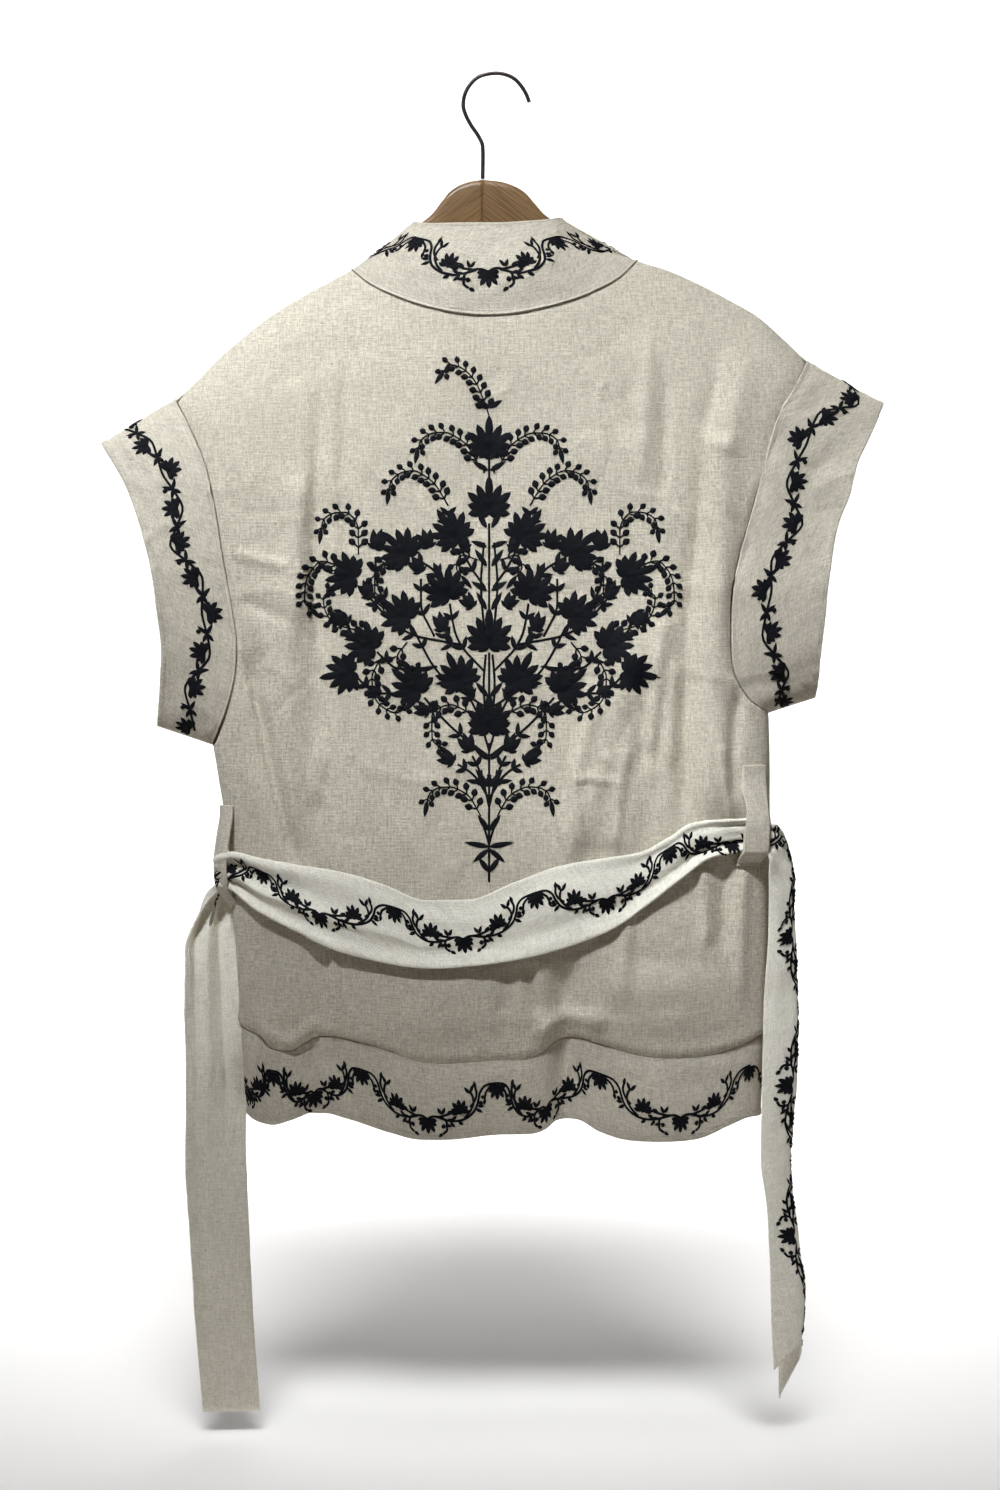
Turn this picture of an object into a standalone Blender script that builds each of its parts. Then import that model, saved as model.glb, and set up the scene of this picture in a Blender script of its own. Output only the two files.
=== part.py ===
"""Open waistcoat with cap sleeves, neckband, hem border and a long sash, hung on a wooden hanger.

Metres, +Z up. The origin is the bearing point inside the top of the hook. The back of the
garment faces -Y and the open fronts face +Y. The wearer's left is at -X.
"""

import bpy
import bmesh
import numpy as np
from mathutils import Vector

# Driving sizes
PANEL_WALL = 0.0020
BAND_WALL = 0.0024
BELT_WALL = 0.0024
LOOP_WALL = 0.0020
SEAM_GAP = 0.0003
HALF_GAP = 0.0008
BELT_CLEAR = 0.0024
FRONT_SHARE = 0.86
SHOULDER_DROP = 0.16
CENTRE_GAP = 0.005
SEAM_TO_CENTRE = 0.070
LOOP_WIDTH = 0.020
WIRE_RADIUS = 0.0015
ARM_THICK = 0.0125
UNDERARM_V = 0.55

# Ridge over the shoulders and the neck, left cuff to right cuff: x, z
RIDGE = (
    (-0.2963, -0.2756), (-0.2662, -0.2591), (-0.2400, -0.2434), (-0.2235, -0.2290),
    (-0.2100, -0.2150), (-0.1920, -0.1990), (-0.1732, -0.1840), (-0.1500, -0.1690),
    (-0.1253, -0.1555), (-0.1080, -0.1460), (-0.0833, -0.1290), (-0.0607, -0.1099),
    (-0.0532, -0.1072), (-0.0420, -0.1031), (-0.0270, -0.0990), (-0.0067, -0.0971),
    (0.0142, -0.0978), (0.0292, -0.1005), (0.0405, -0.1038), (0.0480, -0.1069),
    (0.0660, -0.1195), (0.0833, -0.1300), (0.1072, -0.1398), (0.1313, -0.1475),
    (0.1492, -0.1555), (0.1733, -0.1680), (0.1988, -0.1833), (0.2152, -0.1980),
    (0.2333, -0.2141), (0.2580, -0.2298), (0.2910, -0.2456),
)
# Half width of the body left of the centre line: z, half width where front and back meet
WIDTH_LEFT = (
    (-1.10, 0.187), (-0.7780, 0.1870), (-0.7128, 0.1913), (-0.6746, 0.1935),
    (-0.6333, 0.1965), (-0.6034, 0.1988), (-0.5734, 0.2010), (-0.5508, 0.2040),
    (-0.5283, 0.2077), (-0.5021, 0.2122), (-0.4800, 0.2180), (-0.4400, 0.2360),
    (-0.3700, 0.2600), (-0.3000, 0.2860), (-0.2400, 0.3100), (-0.0900, 0.3300),
)
WIDTH_RIGHT = (
    (-1.10, 0.1980), (-0.7780, 0.1980), (-0.7173, 0.2018), (-0.6784, 0.2033),
    (-0.6183, 0.2040), (-0.5584, 0.2048), (-0.5133, 0.2048), (-0.4781, 0.2040),
    (-0.4600, 0.2080), (-0.4100, 0.2260), (-0.3600, 0.2420), (-0.2900, 0.2700),
    (-0.2200, 0.3050), (-0.0900, 0.3250),
)
# Half depth of the body: z, depth
DEPTH = (
    (-1.10, 0.060), (-0.790, 0.060), (-0.730, 0.053), (-0.700, 0.058), (-0.640, 0.057),
    (-0.560, 0.053), (-0.480, 0.048), (-0.400, 0.046), (-0.250, 0.047), (-0.090, 0.048),
)
SHAPE_LEFT = 2.4
SHAPE_RIGHT = 3.2

# Seams and edges of the back: x, z
NECK_SEAM = (
    (-0.1080, -0.1462), (-0.0967, -0.1575), (-0.0747, -0.1700), (-0.0449, -0.1806),
    (-0.0066, -0.1855), (0.0325, -0.1806), (0.0696, -0.1680), (0.0938, -0.1530),
    (0.1058, -0.1394),
)
NECK_FREE = (
    (-0.0607, -0.1101), (-0.0550, -0.1122), (-0.0342, -0.1140), (-0.0067, -0.1145),
    (0.0216, -0.1128), (0.0425, -0.1092), (0.0480, -0.1070),
)
ARMHOLE_LEFT = (
    (-0.2400, -0.2434), (-0.2282, -0.2656), (-0.2160, -0.2927), (-0.2080, -0.3259),
    (-0.2019, -0.3645), (-0.1953, -0.4022), (-0.1923, -0.4281), (-0.1947, -0.4555),
    (-0.2029, -0.4820), (-0.2122, -0.5021),
)
ARMHOLE_RIGHT = (
    (0.2333, -0.2141), (0.2201, -0.2395), (0.2089, -0.2583), (0.2001, -0.2895),
    (0.1902, -0.3253), (0.1798, -0.3638), (0.1739, -0.4022), (0.1739, -0.4244),
    (0.1786, -0.4539), (0.1905, -0.4701), (0.2040, -0.4781),
)
CUFF_LEFT = (
    (-0.2963, -0.2756), (-0.2764, -0.3081), (-0.2636, -0.3414), (-0.2559, -0.3704),
    (-0.2507, -0.4096), (-0.2488, -0.4318), (-0.2512, -0.4620), (-0.2542, -0.4879),
)
CUFF_RIGHT = (
    (0.2910, -0.2456), (0.2801, -0.2697), (0.2686, -0.2929), (0.2622, -0.3177),
    (0.2538, -0.3393), (0.2479, -0.3697), (0.2442, -0.4118), (0.2416, -0.4354),
    (0.2405, -0.4559), (0.2393, -0.4668),
)
CUFF_DEPTH = 0.030
HEM_SEAM_BACK = (
    (-0.1913, -0.7128), (-0.1850, -0.7147), (-0.1756, -0.7184), (-0.1659, -0.7275),
    (-0.1524, -0.7286), (-0.1403, -0.7225), (-0.1309, -0.7177), (-0.1182, -0.7174),
    (-0.1033, -0.7205), (-0.0847, -0.7250), (-0.0590, -0.7331), (-0.0407, -0.7351),
    (0.0030, -0.7331), (0.0213, -0.7329), (0.0360, -0.7270), (0.0461, -0.7195),
    (0.0581, -0.7175), (0.0762, -0.7218), (0.1051, -0.7297), (0.1342, -0.7317),
    (0.1639, -0.7295), (0.1875, -0.7220), (0.1970, -0.7184), (0.2018, -0.7173),
)
HEM_EDGE_BACK = (
    (-0.1867, -0.7773), (-0.1812, -0.7795), (-0.1660, -0.7827), (-0.1509, -0.7784),
    (-0.1308, -0.7718), (-0.1106, -0.7755), (-0.0772, -0.7852), (-0.0552, -0.7895),
    (-0.0334, -0.7893), (0.0030, -0.7861), (0.0249, -0.7859), (0.0360, -0.7830),
    (0.0450, -0.7769), (0.0581, -0.7761), (0.0762, -0.7845), (0.0941, -0.7900),
    (0.1230, -0.7915), (0.1488, -0.7900), (0.1717, -0.7816), (0.1894, -0.7768),
    (0.1980, -0.7773),
)
# Front edges, as distance from the centre line: x, z from the shoulder down
FREE_LEFT = (
    (0.0607, -0.1101), (0.0600, -0.1300), (0.0560, -0.1700), (0.0480, -0.2250),
    (0.0370, -0.2850), (0.0250, -0.3400), (0.0140, -0.3900), (0.0070, -0.4350),
    (0.0050, -0.4900), (0.0050, -0.7200),
)
FREE_RIGHT = (
    (0.0480, -0.1070), (0.0500, -0.1300), (0.0490, -0.1700), (0.0430, -0.2250),
    (0.0340, -0.2850), (0.0235, -0.3400), (0.0135, -0.3900), (0.0070, -0.4350),
    (0.0050, -0.4900), (0.0050, -0.7200),
)
SEAM_LEFT = (
    (0.1080, -0.1462), (0.1090, -0.1700), (0.1070, -0.2200), (0.1020, -0.2800),
    (0.0935, -0.3400), (0.0840, -0.4000), (0.0755, -0.4600), (0.0710, -0.5200),
    (0.0700, -0.5600), (0.0700, -0.7200),
)
SEAM_RIGHT = (
    (0.1058, -0.1394), (0.1070, -0.1700), (0.1050, -0.2200), (0.1000, -0.2800),
    (0.0920, -0.3400), (0.0830, -0.4000), (0.0750, -0.4600), (0.0710, -0.5200),
    (0.0700, -0.5600), (0.0700, -0.7200),
)
HEM_SEAM_FRONT = ((0.0700, -0.7200), (0.1000, -0.7230), (0.1350, -0.7205), (0.1700, -0.7180))
HEM_EDGE_FRONT = ((0.0700, -0.7840), (0.1000, -0.7860), (0.1350, -0.7835), (0.1700, -0.7800))
BAND_END = -0.7840

# Largest folds: face (-1 back, 1 front), x0, z0, x1, z1, half width, height
FOLDS = (
    (-1, 0.188, -0.210, 0.166, -0.290, 0.013, 0.0060),
    (-1, 0.166, -0.270, 0.164, -0.400, 0.013, 0.0070),
    (-1, 0.164, -0.380, 0.158, -0.560, 0.014, 0.0075),
    (-1, 0.168, -0.220, 0.150, -0.370, 0.011, -0.0050),
    (-1, 0.150, -0.350, 0.140, -0.570, 0.011, -0.0060),
    (-1, -0.111, -0.190, -0.128, -0.360, 0.016, -0.0040),
    (-1, -0.128, -0.330, -0.136, -0.620, 0.015, -0.0050),
    (-1, -0.184, -0.430, -0.146, -0.600, 0.012, -0.0060),
    (-1, -0.155, -0.360, -0.150, -0.600, 0.012, 0.0045),
    (-1, 0.106, -0.420, 0.058, -0.580, 0.014, 0.0055),
    (-1, 0.129, -0.460, 0.098, -0.640, 0.012, -0.0035),
    (-1, 0.050, -0.660, 0.052, -0.800, 0.011, -0.0110),
    (-1, -0.128, -0.640, -0.132, -0.800, 0.012, -0.0070),
    (-1, -0.045, -0.660, -0.045, -0.810, 0.036, 0.0070),
    (-1, 0.122, -0.660, 0.122, -0.810, 0.034, 0.0075),
    (1, -0.150, -0.200, -0.140, -0.520, 0.014, -0.0050),
    (1, -0.175, -0.440, -0.120, -0.620, 0.013, 0.0050),
    (1, 0.148, -0.200, 0.140, -0.600, 0.014, 0.0060),
    (1, 0.180, -0.420, 0.120, -0.640, 0.012, -0.0045),
    (1, -0.110, -0.600, -0.115, -0.810, 0.018, 0.0060),
    (1, 0.105, -0.600, 0.110, -0.810, 0.018, -0.0060),
)

# Sash across the back, on the skin: x, z of the upper edge, x, z of the lower edge
BELT_BACK = (
    (-0.1900, -0.5810, -0.1930, -0.6085), (-0.1700, -0.5860, -0.1700, -0.6260),
    (-0.1450, -0.5915, -0.1400, -0.6410), (-0.1120, -0.5950, -0.1080, -0.6540),
    (-0.0808, -0.6046, -0.0760, -0.6625), (-0.0500, -0.6155, -0.0450, -0.6665),
    (-0.0196, -0.6151, -0.0120, -0.6640), (0.0120, -0.6035, 0.0230, -0.6565),
    (0.0450, -0.5910, 0.0560, -0.6475), (0.0780, -0.5850, 0.0880, -0.6360),
    (0.1058, -0.5801, 0.1120, -0.6200), (0.1254, -0.5706, 0.1330, -0.6020),
    (0.1444, -0.5610, 0.1530, -0.5870), (0.1641, -0.5560, 0.1700, -0.5815),
    (0.1800, -0.5560, 0.1810, -0.5800), (0.1930, -0.5580, 0.1920, -0.5810),
)
# Sash beyond each loop: upper edge x, y, z, middle x, y, z, lower edge x, y, z
TAIL_LEFT = (
    (-0.2070, -0.0140, -0.5860, -0.2070, -0.0145, -0.5965, -0.2060, -0.0150, -0.6070),
    (-0.2070, 0.0130, -0.5880, -0.2070, 0.0125, -0.5985, -0.2060, 0.0120, -0.6090),
    (-0.2050, 0.0240, -0.6010, -0.2120, 0.0210, -0.6110, -0.2180, 0.0150, -0.6215),
    (-0.2020, 0.0270, -0.6220, -0.2160, 0.0250, -0.6330, -0.2290, 0.0130, -0.6400),
    (-0.1990, 0.0240, -0.6480, -0.2170, 0.0200, -0.6520, -0.2340, 0.0080, -0.6560),
    (-0.1960, 0.0140, -0.6934, -0.2150, 0.0120, -0.6934, -0.2340, 0.0020, -0.6934),
    (-0.1900, 0.0080, -0.7533, -0.2110, 0.0010, -0.7533, -0.2325, -0.0020, -0.7533),
    (-0.1875, 0.0040, -0.8134, -0.2100, 0.0060, -0.8134, -0.2333, 0.0010, -0.8134),
    (-0.1852, 0.0060, -0.8734, -0.2080, -0.0010, -0.8734, -0.2295, 0.0020, -0.8734),
    (-0.1822, 0.0050, -0.9334, -0.2045, 0.0040, -0.9334, -0.2258, 0.0000, -0.9334),
    (-0.1770, 0.0040, -1.0020, -0.1985, 0.0010, -1.0020, -0.2198, 0.0000, -1.0020),
)
TAIL_RIGHT = (
    (0.2075, -0.0280, -0.5640, 0.2085, -0.0300, -0.5745, 0.2030, -0.0360, -0.5850),
    (0.2135, -0.0160, -0.5780, 0.2170, -0.0230, -0.5850, 0.2070, -0.0330, -0.6010),
    (0.2120, -0.0080, -0.5960, 0.2215, -0.0190, -0.6020, 0.2050, -0.0310, -0.6180),
    (0.2105, -0.0060, -0.6250, 0.2215, -0.0180, -0.6290, 0.2010, -0.0300, -0.6400),
    (0.2100, -0.0060, -0.6779, 0.2240, -0.0180, -0.6790, 0.1998, -0.0300, -0.6790),
    (0.2095, -0.0060, -0.7422, 0.2240, -0.0180, -0.7420, 0.1990, -0.0300, -0.7420),
    (0.2090, -0.0060, -0.8090, 0.2188, -0.0180, -0.8090, 0.1976, -0.0290, -0.8090),
    (0.2094, -0.0060, -0.8420, 0.2215, -0.0180, -0.8410, 0.2000, -0.0290, -0.8400),
    (0.2105, -0.0060, -0.8900, 0.2262, -0.0180, -0.8800, 0.2024, -0.0290, -0.8800),
    (0.2112, -0.0060, -0.9450, 0.2305, -0.0180, -0.9150, 0.2040, -0.0290, -0.9300),
    (0.2117, -0.0060, -0.9900, 0.2285, -0.0180, -0.9500, 0.2057, -0.0290, -0.9650),
)
# Belt loops: z, stand-off from the body
LOOP_LEFT = (
    (-0.5470, 0.0003), (-0.5530, 0.0012), (-0.5700, 0.0062), (-0.5850, 0.0095),
    (-0.5980, 0.0105), (-0.6100, 0.0095), (-0.6180, 0.0050), (-0.6230, 0.0010), (-0.6270, 0.0003),
)
LOOP_RIGHT = (
    (-0.5170, 0.0004), (-0.5230, 0.0008), (-0.5350, 0.0028), (-0.5460, 0.0050),
    (-0.5580, 0.0080), (-0.5720, 0.0090), (-0.5815, 0.0088), (-0.5860, 0.0044),
    (-0.5890, 0.0008), (-0.5915, 0.0004),
)
LOOP_RIGHT_X = ((-0.5905, 0.1765), (-0.5170, 0.1815))

# Hanger: x, z of the upper edge, height
ARM_LEFT = (
    (-0.0101, -0.0783, 0.046), (-0.0225, -0.0806, 0.046), (-0.0337, -0.0866, 0.044),
    (-0.0412, -0.0955, 0.040), (-0.0480, -0.1042, 0.036), (-0.0560, -0.1108, 0.033),
    (-0.0640, -0.1172, 0.031), (-0.0833, -0.1335, 0.030), (-0.1080, -0.1512, 0.029),
    (-0.1400, -0.1692, 0.027), (-0.1732, -0.1892, 0.025), (-0.1950, -0.2072, 0.023),
    (-0.2070, -0.2185, 0.020), (-0.2120, -0.2240, 0.013),
)
ARM_RIGHT = (
    (-0.0095, -0.0783, 0.046), (0.0067, -0.0806, 0.046), (0.0200, -0.0866, 0.044),
    (0.0285, -0.0955, 0.040), (0.0360, -0.1040, 0.036), (0.0430, -0.1090, 0.033),
    (0.0510, -0.1140, 0.031), (0.0700, -0.1275, 0.030), (0.0950, -0.1400, 0.029),
    (0.1313, -0.1520, 0.027), (0.1600, -0.1655, 0.025), (0.1850, -0.1795, 0.023),
    (0.2010, -0.1910, 0.020), (0.2060, -0.1960, 0.013),
)
HOOK = (
    (-0.0100, -0.0776), (-0.0098, -0.0611), (-0.0100, -0.0531), (-0.0134, -0.0451),
    (-0.0188, -0.0371), (-0.0227, -0.0296), (-0.0246, -0.0224), (-0.0234, -0.0143),
    (-0.0192, -0.0066), (-0.0135, -0.0013), (-0.0067, 0.0010), (0.0000, 0.0017),
    (0.0067, 0.0008), (0.0135, -0.0023), (0.0187, -0.0076), (0.0228, -0.0143),
    (0.0250, -0.0200),
)

for thing in list(bpy.data.objects):
    bpy.data.objects.remove(thing, do_unlink=True)
collection = bpy.data.collections.new("waistcoat")
bpy.context.scene.collection.children.link(collection)


def slopes(knots, values):
    """Slopes for a smooth line through uneven knots, without overshoot at a flat stretch."""
    gaps = np.diff(knots)
    rise = np.diff(values, axis=0) / gaps[:, None]
    inner = (rise[:-1] * gaps[1:, None] + rise[1:] * gaps[:-1, None]) / (gaps[:-1] + gaps[1:])[:, None]
    flat = rise[:-1] * rise[1:] <= 0
    limit = 3 * np.minimum(np.abs(rise[:-1]), np.abs(rise[1:]))
    inner = np.where(flat, 0.0, np.clip(inner, -limit, limit))
    return np.vstack([rise[0], inner, rise[-1]])


def hermite(knots, values, where):
    """Values of the smooth line through the knots, at where."""
    knots = np.asarray(knots, float)
    values = np.asarray(values, float)
    m = slopes(knots, values)
    where = np.clip(where, knots[0], knots[-1])
    i = np.clip(np.searchsorted(knots, where, side="right") - 1, 0, len(knots) - 2)
    gap = knots[i + 1] - knots[i]
    t = ((where - knots[i]) / gap)[..., None]
    gap = gap[..., None]
    return (
        values[i] * (1 + 2 * t) * (1 - t) ** 2
        + m[i] * gap * t * (1 - t) ** 2
        + values[i + 1] * t * t * (3 - 2 * t)
        + m[i + 1] * gap * t * t * (t - 1)
    )


def curve_points(points, steps=10):
    """A smooth dense line through the points, which may have two coordinates or more."""
    pts = np.array(points, float)
    chords = np.linalg.norm(np.diff(pts, axis=0), axis=1)
    knots = np.concatenate([[0.0], np.cumsum(chords)])
    share = np.arange(0, steps) / steps
    where = np.concatenate([knots[i] + share * chords[i] for i in range(len(chords))])
    return hermite(knots, pts, np.append(where, knots[-1]))


def along(points, shares):
    """Points at these shares of the length of the line."""
    dense = curve_points(points)
    steps = np.linalg.norm(np.diff(dense, axis=0), axis=1)
    length = np.concatenate([[0.0], np.cumsum(steps)])
    length /= length[-1]
    return np.stack([np.interp(shares, length, dense[:, k]) for k in range(dense.shape[1])], 1)


def read(table, value):
    """A smooth reading of a table of two columns, in either order of its first column."""
    rows = np.array(sorted(table), float)
    return hermite(rows[:, 0], rows[:, 1:], np.asarray(value, float))[..., 0]


def fold_height(face, x, z):
    """Height of the folds of this face at x, z."""
    total = np.zeros_like(x)
    for side, x0, z0, x1, z1, half, height in FOLDS:
        if side != face:
            continue
        dx, dz = x1 - x0, z1 - z0
        long2 = dx * dx + dz * dz
        share = ((x - x0) * dx + (z - z0) * dz) / long2
        across = np.abs((x - x0) * dz - (z - z0) * dx) / long2**0.5
        ends = np.clip(np.minimum(share, 1 - share) / 0.25 + 0.35, 0, 1)
        ends = ends * ends * (3 - 2 * ends)
        total += height * np.exp(-((across / half) ** 2)) * ends
    return total


def skin_depth(face, x, z):
    """Distance of the outer skin from the plane of the shoulders, at x, z."""
    x = np.asarray(x, float)
    z = np.asarray(z, float)
    width = np.where(x < 0, read(WIDTH_LEFT, z), read(WIDTH_RIGHT, z))
    shape = np.where(x < 0, SHAPE_LEFT, SHAPE_RIGHT)
    t = np.clip(np.abs(x) / width, 0, 1)
    section = (1 - t**shape) ** (1 / shape)
    below = np.clip((read(RIDGE, x) - z) / SHOULDER_DROP, 0, 1)
    drop = np.sqrt(1 - (1 - below) ** 2)
    share = 1.0 if face < 0 else FRONT_SHARE
    return (read(DEPTH, z) * share + fold_height(face, x, z)) * section * drop


def on_skin(face, x, z, lift=0.0):
    """Points of the skin, moved out along its normal by lift."""
    x = np.asarray(x, float)
    z = np.asarray(z, float)
    y = skin_depth(face, x, z)
    point = np.stack([x, face * y, z], -1)
    if not np.any(lift):
        return point
    e = 0.0015
    dx = (skin_depth(face, x + e, z) - skin_depth(face, x - e, z)) / (2 * e)
    dz = (skin_depth(face, x, z + e) - skin_depth(face, x, z - e)) / (2 * e)
    normal = np.stack([-dx, face * np.ones_like(dx), -dz], -1)
    normal /= np.linalg.norm(normal, axis=-1, keepdims=True)
    return point + normal * np.asarray(lift)[..., None]


def material(name, colour, rough, metal=0.0):
    made = bpy.data.materials.new(name)
    made.use_nodes = True
    shader = made.node_tree.nodes["Principled BSDF"]
    shader.inputs["Base Color"].default_value = (*colour, 1)
    shader.inputs["Roughness"].default_value = rough
    shader.inputs["Metallic"].default_value = metal
    return made


LINEN = (0.62, 0.57, 0.49)


def cloth(name, points, wall, away, ring=False, colour=LINEN):
    """A cloth piece from a table of points, rows by columns, thickened inwards from the skin.

    away gives, for the middle of the piece, the direction its outer side faces."""
    rows, cols = points.shape[:2]
    bm = bmesh.new()
    bmesh.ops.create_grid(bm, x_segments=cols - 1, y_segments=rows - 1, size=1)
    for v in bm.verts:
        i = round((v.co.y + 1) / 2 * (rows - 1))
        j = round((v.co.x + 1) / 2 * (cols - 1))
        v.co = Vector(points[i, j])
    if ring:
        bmesh.ops.remove_doubles(bm, verts=bm.verts, dist=0.00005)
    bm.normal_update()
    i, j = rows // 2, cols // 2
    a = points[min(i + 1, rows - 1), j] - points[i - 1, j]
    b = points[i, min(j + 1, cols - 1)] - points[i, j - 1]
    if np.dot(np.cross(b, a), away) < 0:
        bmesh.ops.reverse_faces(bm, faces=bm.faces)
    mesh = bpy.data.meshes.new(name)
    bm.to_mesh(mesh)
    bm.free()
    for face in mesh.polygons:
        face.use_smooth = True
    obj = bpy.data.objects.new(name, mesh)
    collection.objects.link(obj)
    obj.data.materials.append(material(name + "_cloth", colour, 0.9))
    thick = obj.modifiers.new("wall", "SOLIDIFY")
    thick.thickness = wall
    thick.offset = -1
    thick.use_rim = True
    return obj


def coons(top, low, left, right, across, down):
    """Fills the inside of four border lines; across and down are the shares of the columns and rows."""
    s = across[None, :, None]
    v = down[:, None, None]
    border = (1 - v) * top[None] + v * low[None] + (1 - s) * left[:, None] + s * right[:, None]
    corner = (1 - s) * (1 - v) * top[0] + s * (1 - v) * top[-1]
    return border - corner - (1 - s) * v * low[0] - s * v * low[-1]


ROWS = np.array([0, 0.006, 0.018, 0.038, 0.068, 0.105, 0.15, 0.20, 0.25, 0.30, 0.35, 0.40,
                 0.45, 0.49, 0.52, UNDERARM_V, 0.59, 0.64, 0.69, 0.74, 0.79, 0.84, 0.88, 0.92,
                 0.96, 1.0])
HIGH = ROWS[ROWS <= UNDERARM_V] / UNDERARM_V
LOW = (ROWS[ROWS >= UNDERARM_V] - UNDERARM_V) / (1 - UNDERARM_V)
# Shares of the armhole line, finer where it turns over the shoulder and under the arm
HIGH = np.where(HIGH > 0.8, 1 - (1 - HIGH) * (1 - 0.35 * (HIGH - 0.8) / 0.2), HIGH)


def side_line(armhole, table, sign, end):
    """Armhole seam, then side seam down to end."""
    z = np.linspace(armhole[-1][1], end, 12)
    side = [(sign * float(read(table, value)), float(value)) for value in z]
    upper = along(armhole, HIGH)
    lower = along(side, LOW)
    return np.vstack([upper, lower[1:]])


def ridge_line(x0, x1, shares):
    """Points along the ridge from x0 to x1."""
    x = np.linspace(x0, x1, 24)
    return along(list(zip(x, read(RIDGE, x))), shares)


# Back
NECK_SHARES = np.array([0, 0.025, 0.07, 0.13, 0.2, 0.28, 0.36, 0.44, 0.52, 0.6, 0.68,
                        0.76, 0.83, 0.89, 0.94, 0.98, 1.0])
SHOULDER_SHARES = np.array([0, 0.08, 0.2, 0.35, 0.5, 0.67, 0.84, 1.0])
neck = along(NECK_SEAM, NECK_SHARES)
left_top = ridge_line(-0.2400, -0.1080, SHOULDER_SHARES)
right_top = ridge_line(0.1058, 0.2333, 1 - SHOULDER_SHARES[::-1])
back_top = np.vstack([left_top, neck[1:-1], right_top])
spread = np.cumsum(np.concatenate([[0], np.linalg.norm(np.diff(back_top, axis=0), axis=1)]))
back_across = spread / spread[-1]
back_across = 0.65 * back_across + 0.35 * (0.5 - 0.5 * np.cos(np.pi * back_across))
back_low = along(HEM_SEAM_BACK, back_across)
back_left = side_line(ARMHOLE_LEFT, WIDTH_LEFT, -1, HEM_SEAM_BACK[0][1])
back_right = side_line(ARMHOLE_RIGHT, WIDTH_RIGHT, 1, HEM_SEAM_BACK[-1][1])
back_plan = coons(back_top, back_low, back_left, back_right, back_across, ROWS)
back = on_skin(-1, back_plan[..., 0], back_plan[..., 1])
back[..., 1] -= HALF_GAP
cloth("back_panel", back, PANEL_WALL, (0, -1, 0))

# Fronts: each runs from its armhole and side seam to the seam of the neckband
FRONT_COLS = np.array([0, 0.014, 0.05, 0.11, 0.19, 0.28, 0.38, 0.48, 0.59, 0.7, 0.8, 0.9, 1.0])
fronts = {}
for name, sign, armhole, table, seam, free in (
    ("left", -1, ARMHOLE_LEFT, WIDTH_LEFT, SEAM_LEFT, FREE_LEFT),
    ("right", 1, ARMHOLE_RIGHT, WIDTH_RIGHT, SEAM_RIGHT, FREE_RIGHT),
):
    flip = np.array([sign, 1.0])
    inner = along(np.array(seam) * flip, ROWS)
    outer_end = -0.7165
    outer = side_line(armhole, table, sign, outer_end)
    top = ridge_line(armhole[0][0], sign * seam[0][0], FRONT_COLS)
    hem = [(sign * float(read(table, outer_end)), outer_end)]
    hem += [(sign * x, z) for x, z in HEM_SEAM_FRONT[::-1]]
    low = along(hem, FRONT_COLS)
    plan = coons(top, low, outer, inner, FRONT_COLS, ROWS)
    panel = on_skin(1, plan[..., 0], plan[..., 1])
    panel[..., 1] += HALF_GAP
    cloth("front_panel_" + name, panel, PANEL_WALL, (0, 1, 0))
    fronts[name] = {"outer": outer, "inner": inner, "low": low}
    # Border of the hem
    edge = [(sign * float(read(table, -0.7775)), -0.7775)]
    edge += [(sign * x, z) for x, z in HEM_EDGE_FRONT[::-1]]
    lower = along(edge, FRONT_COLS)
    v = np.linspace(0, 1, 6)[:, None, None]
    plan = (1 - v) * (low + (0, -SEAM_GAP)) + v * lower
    border = on_skin(1, plan[..., 0], plan[..., 1])
    border[..., 1] += HALF_GAP
    cloth("hem_band_front_" + name, border, BAND_WALL, (0, 1, 0))

v = np.linspace(0, 1, 6)[:, None, None]
hem_edge = along(HEM_EDGE_BACK, back_across)
plan = (1 - v) * (back_low + (0, -SEAM_GAP)) + v * hem_edge
border = on_skin(-1, plan[..., 0], plan[..., 1])
border[..., 1] -= HALF_GAP
cloth("hem_band_back", border, BAND_WALL, (0, -1, 0))

# Neckband: up the left front, round the back of the neck, down the right front
BAND_COLS = np.linspace(0, 1, 5)
free_back = along(NECK_FREE, NECK_SHARES)


def neckband_front(side, sign, free, face_gap):
    seam_line = fronts[side]["inner"]
    free_line = along(np.array(free) * (sign, 1.0), ROWS)
    tail = np.linspace(0, 1, 4)[1:, None]
    seam_end = (1 - tail) * seam_line[-1] + tail * np.array([sign * SEAM_TO_CENTRE, BAND_END])
    free_end = (1 - tail) * free_line[-1] + tail * np.array([sign * CENTRE_GAP, BAND_END])
    seam_line = np.vstack([seam_line, seam_end])
    free_line = np.vstack([free_line, free_end])
    step = free_line - seam_line
    step /= np.linalg.norm(step, axis=1, keepdims=True)
    seam_line = seam_line + step * (SEAM_GAP * 1.4)
    c = BAND_COLS[None, :, None]
    plan = (1 - c) * seam_line[:, None] + c * free_line[:, None]
    points = on_skin(1, plan[..., 0], plan[..., 1])
    points[..., 1] += face_gap
    return points


step = free_back - neck
step /= np.linalg.norm(step, axis=1, keepdims=True)
start = neck + step * (SEAM_GAP * 1.4)
c = BAND_COLS[None, :, None]
plan = (1 - c) * start[:, None] + c * free_back[:, None]
neck_part = on_skin(-1, plan[..., 0], plan[..., 1])
neck_part[..., 1] -= HALF_GAP
left_part = neckband_front("left", -1, FREE_LEFT, HALF_GAP)
right_part = neckband_front("right", 1, FREE_RIGHT, HALF_GAP)
band = np.vstack([left_part[::-1], neck_part, right_part])
cloth("neckband", band, BAND_WALL, (0, -1, 0))

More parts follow.
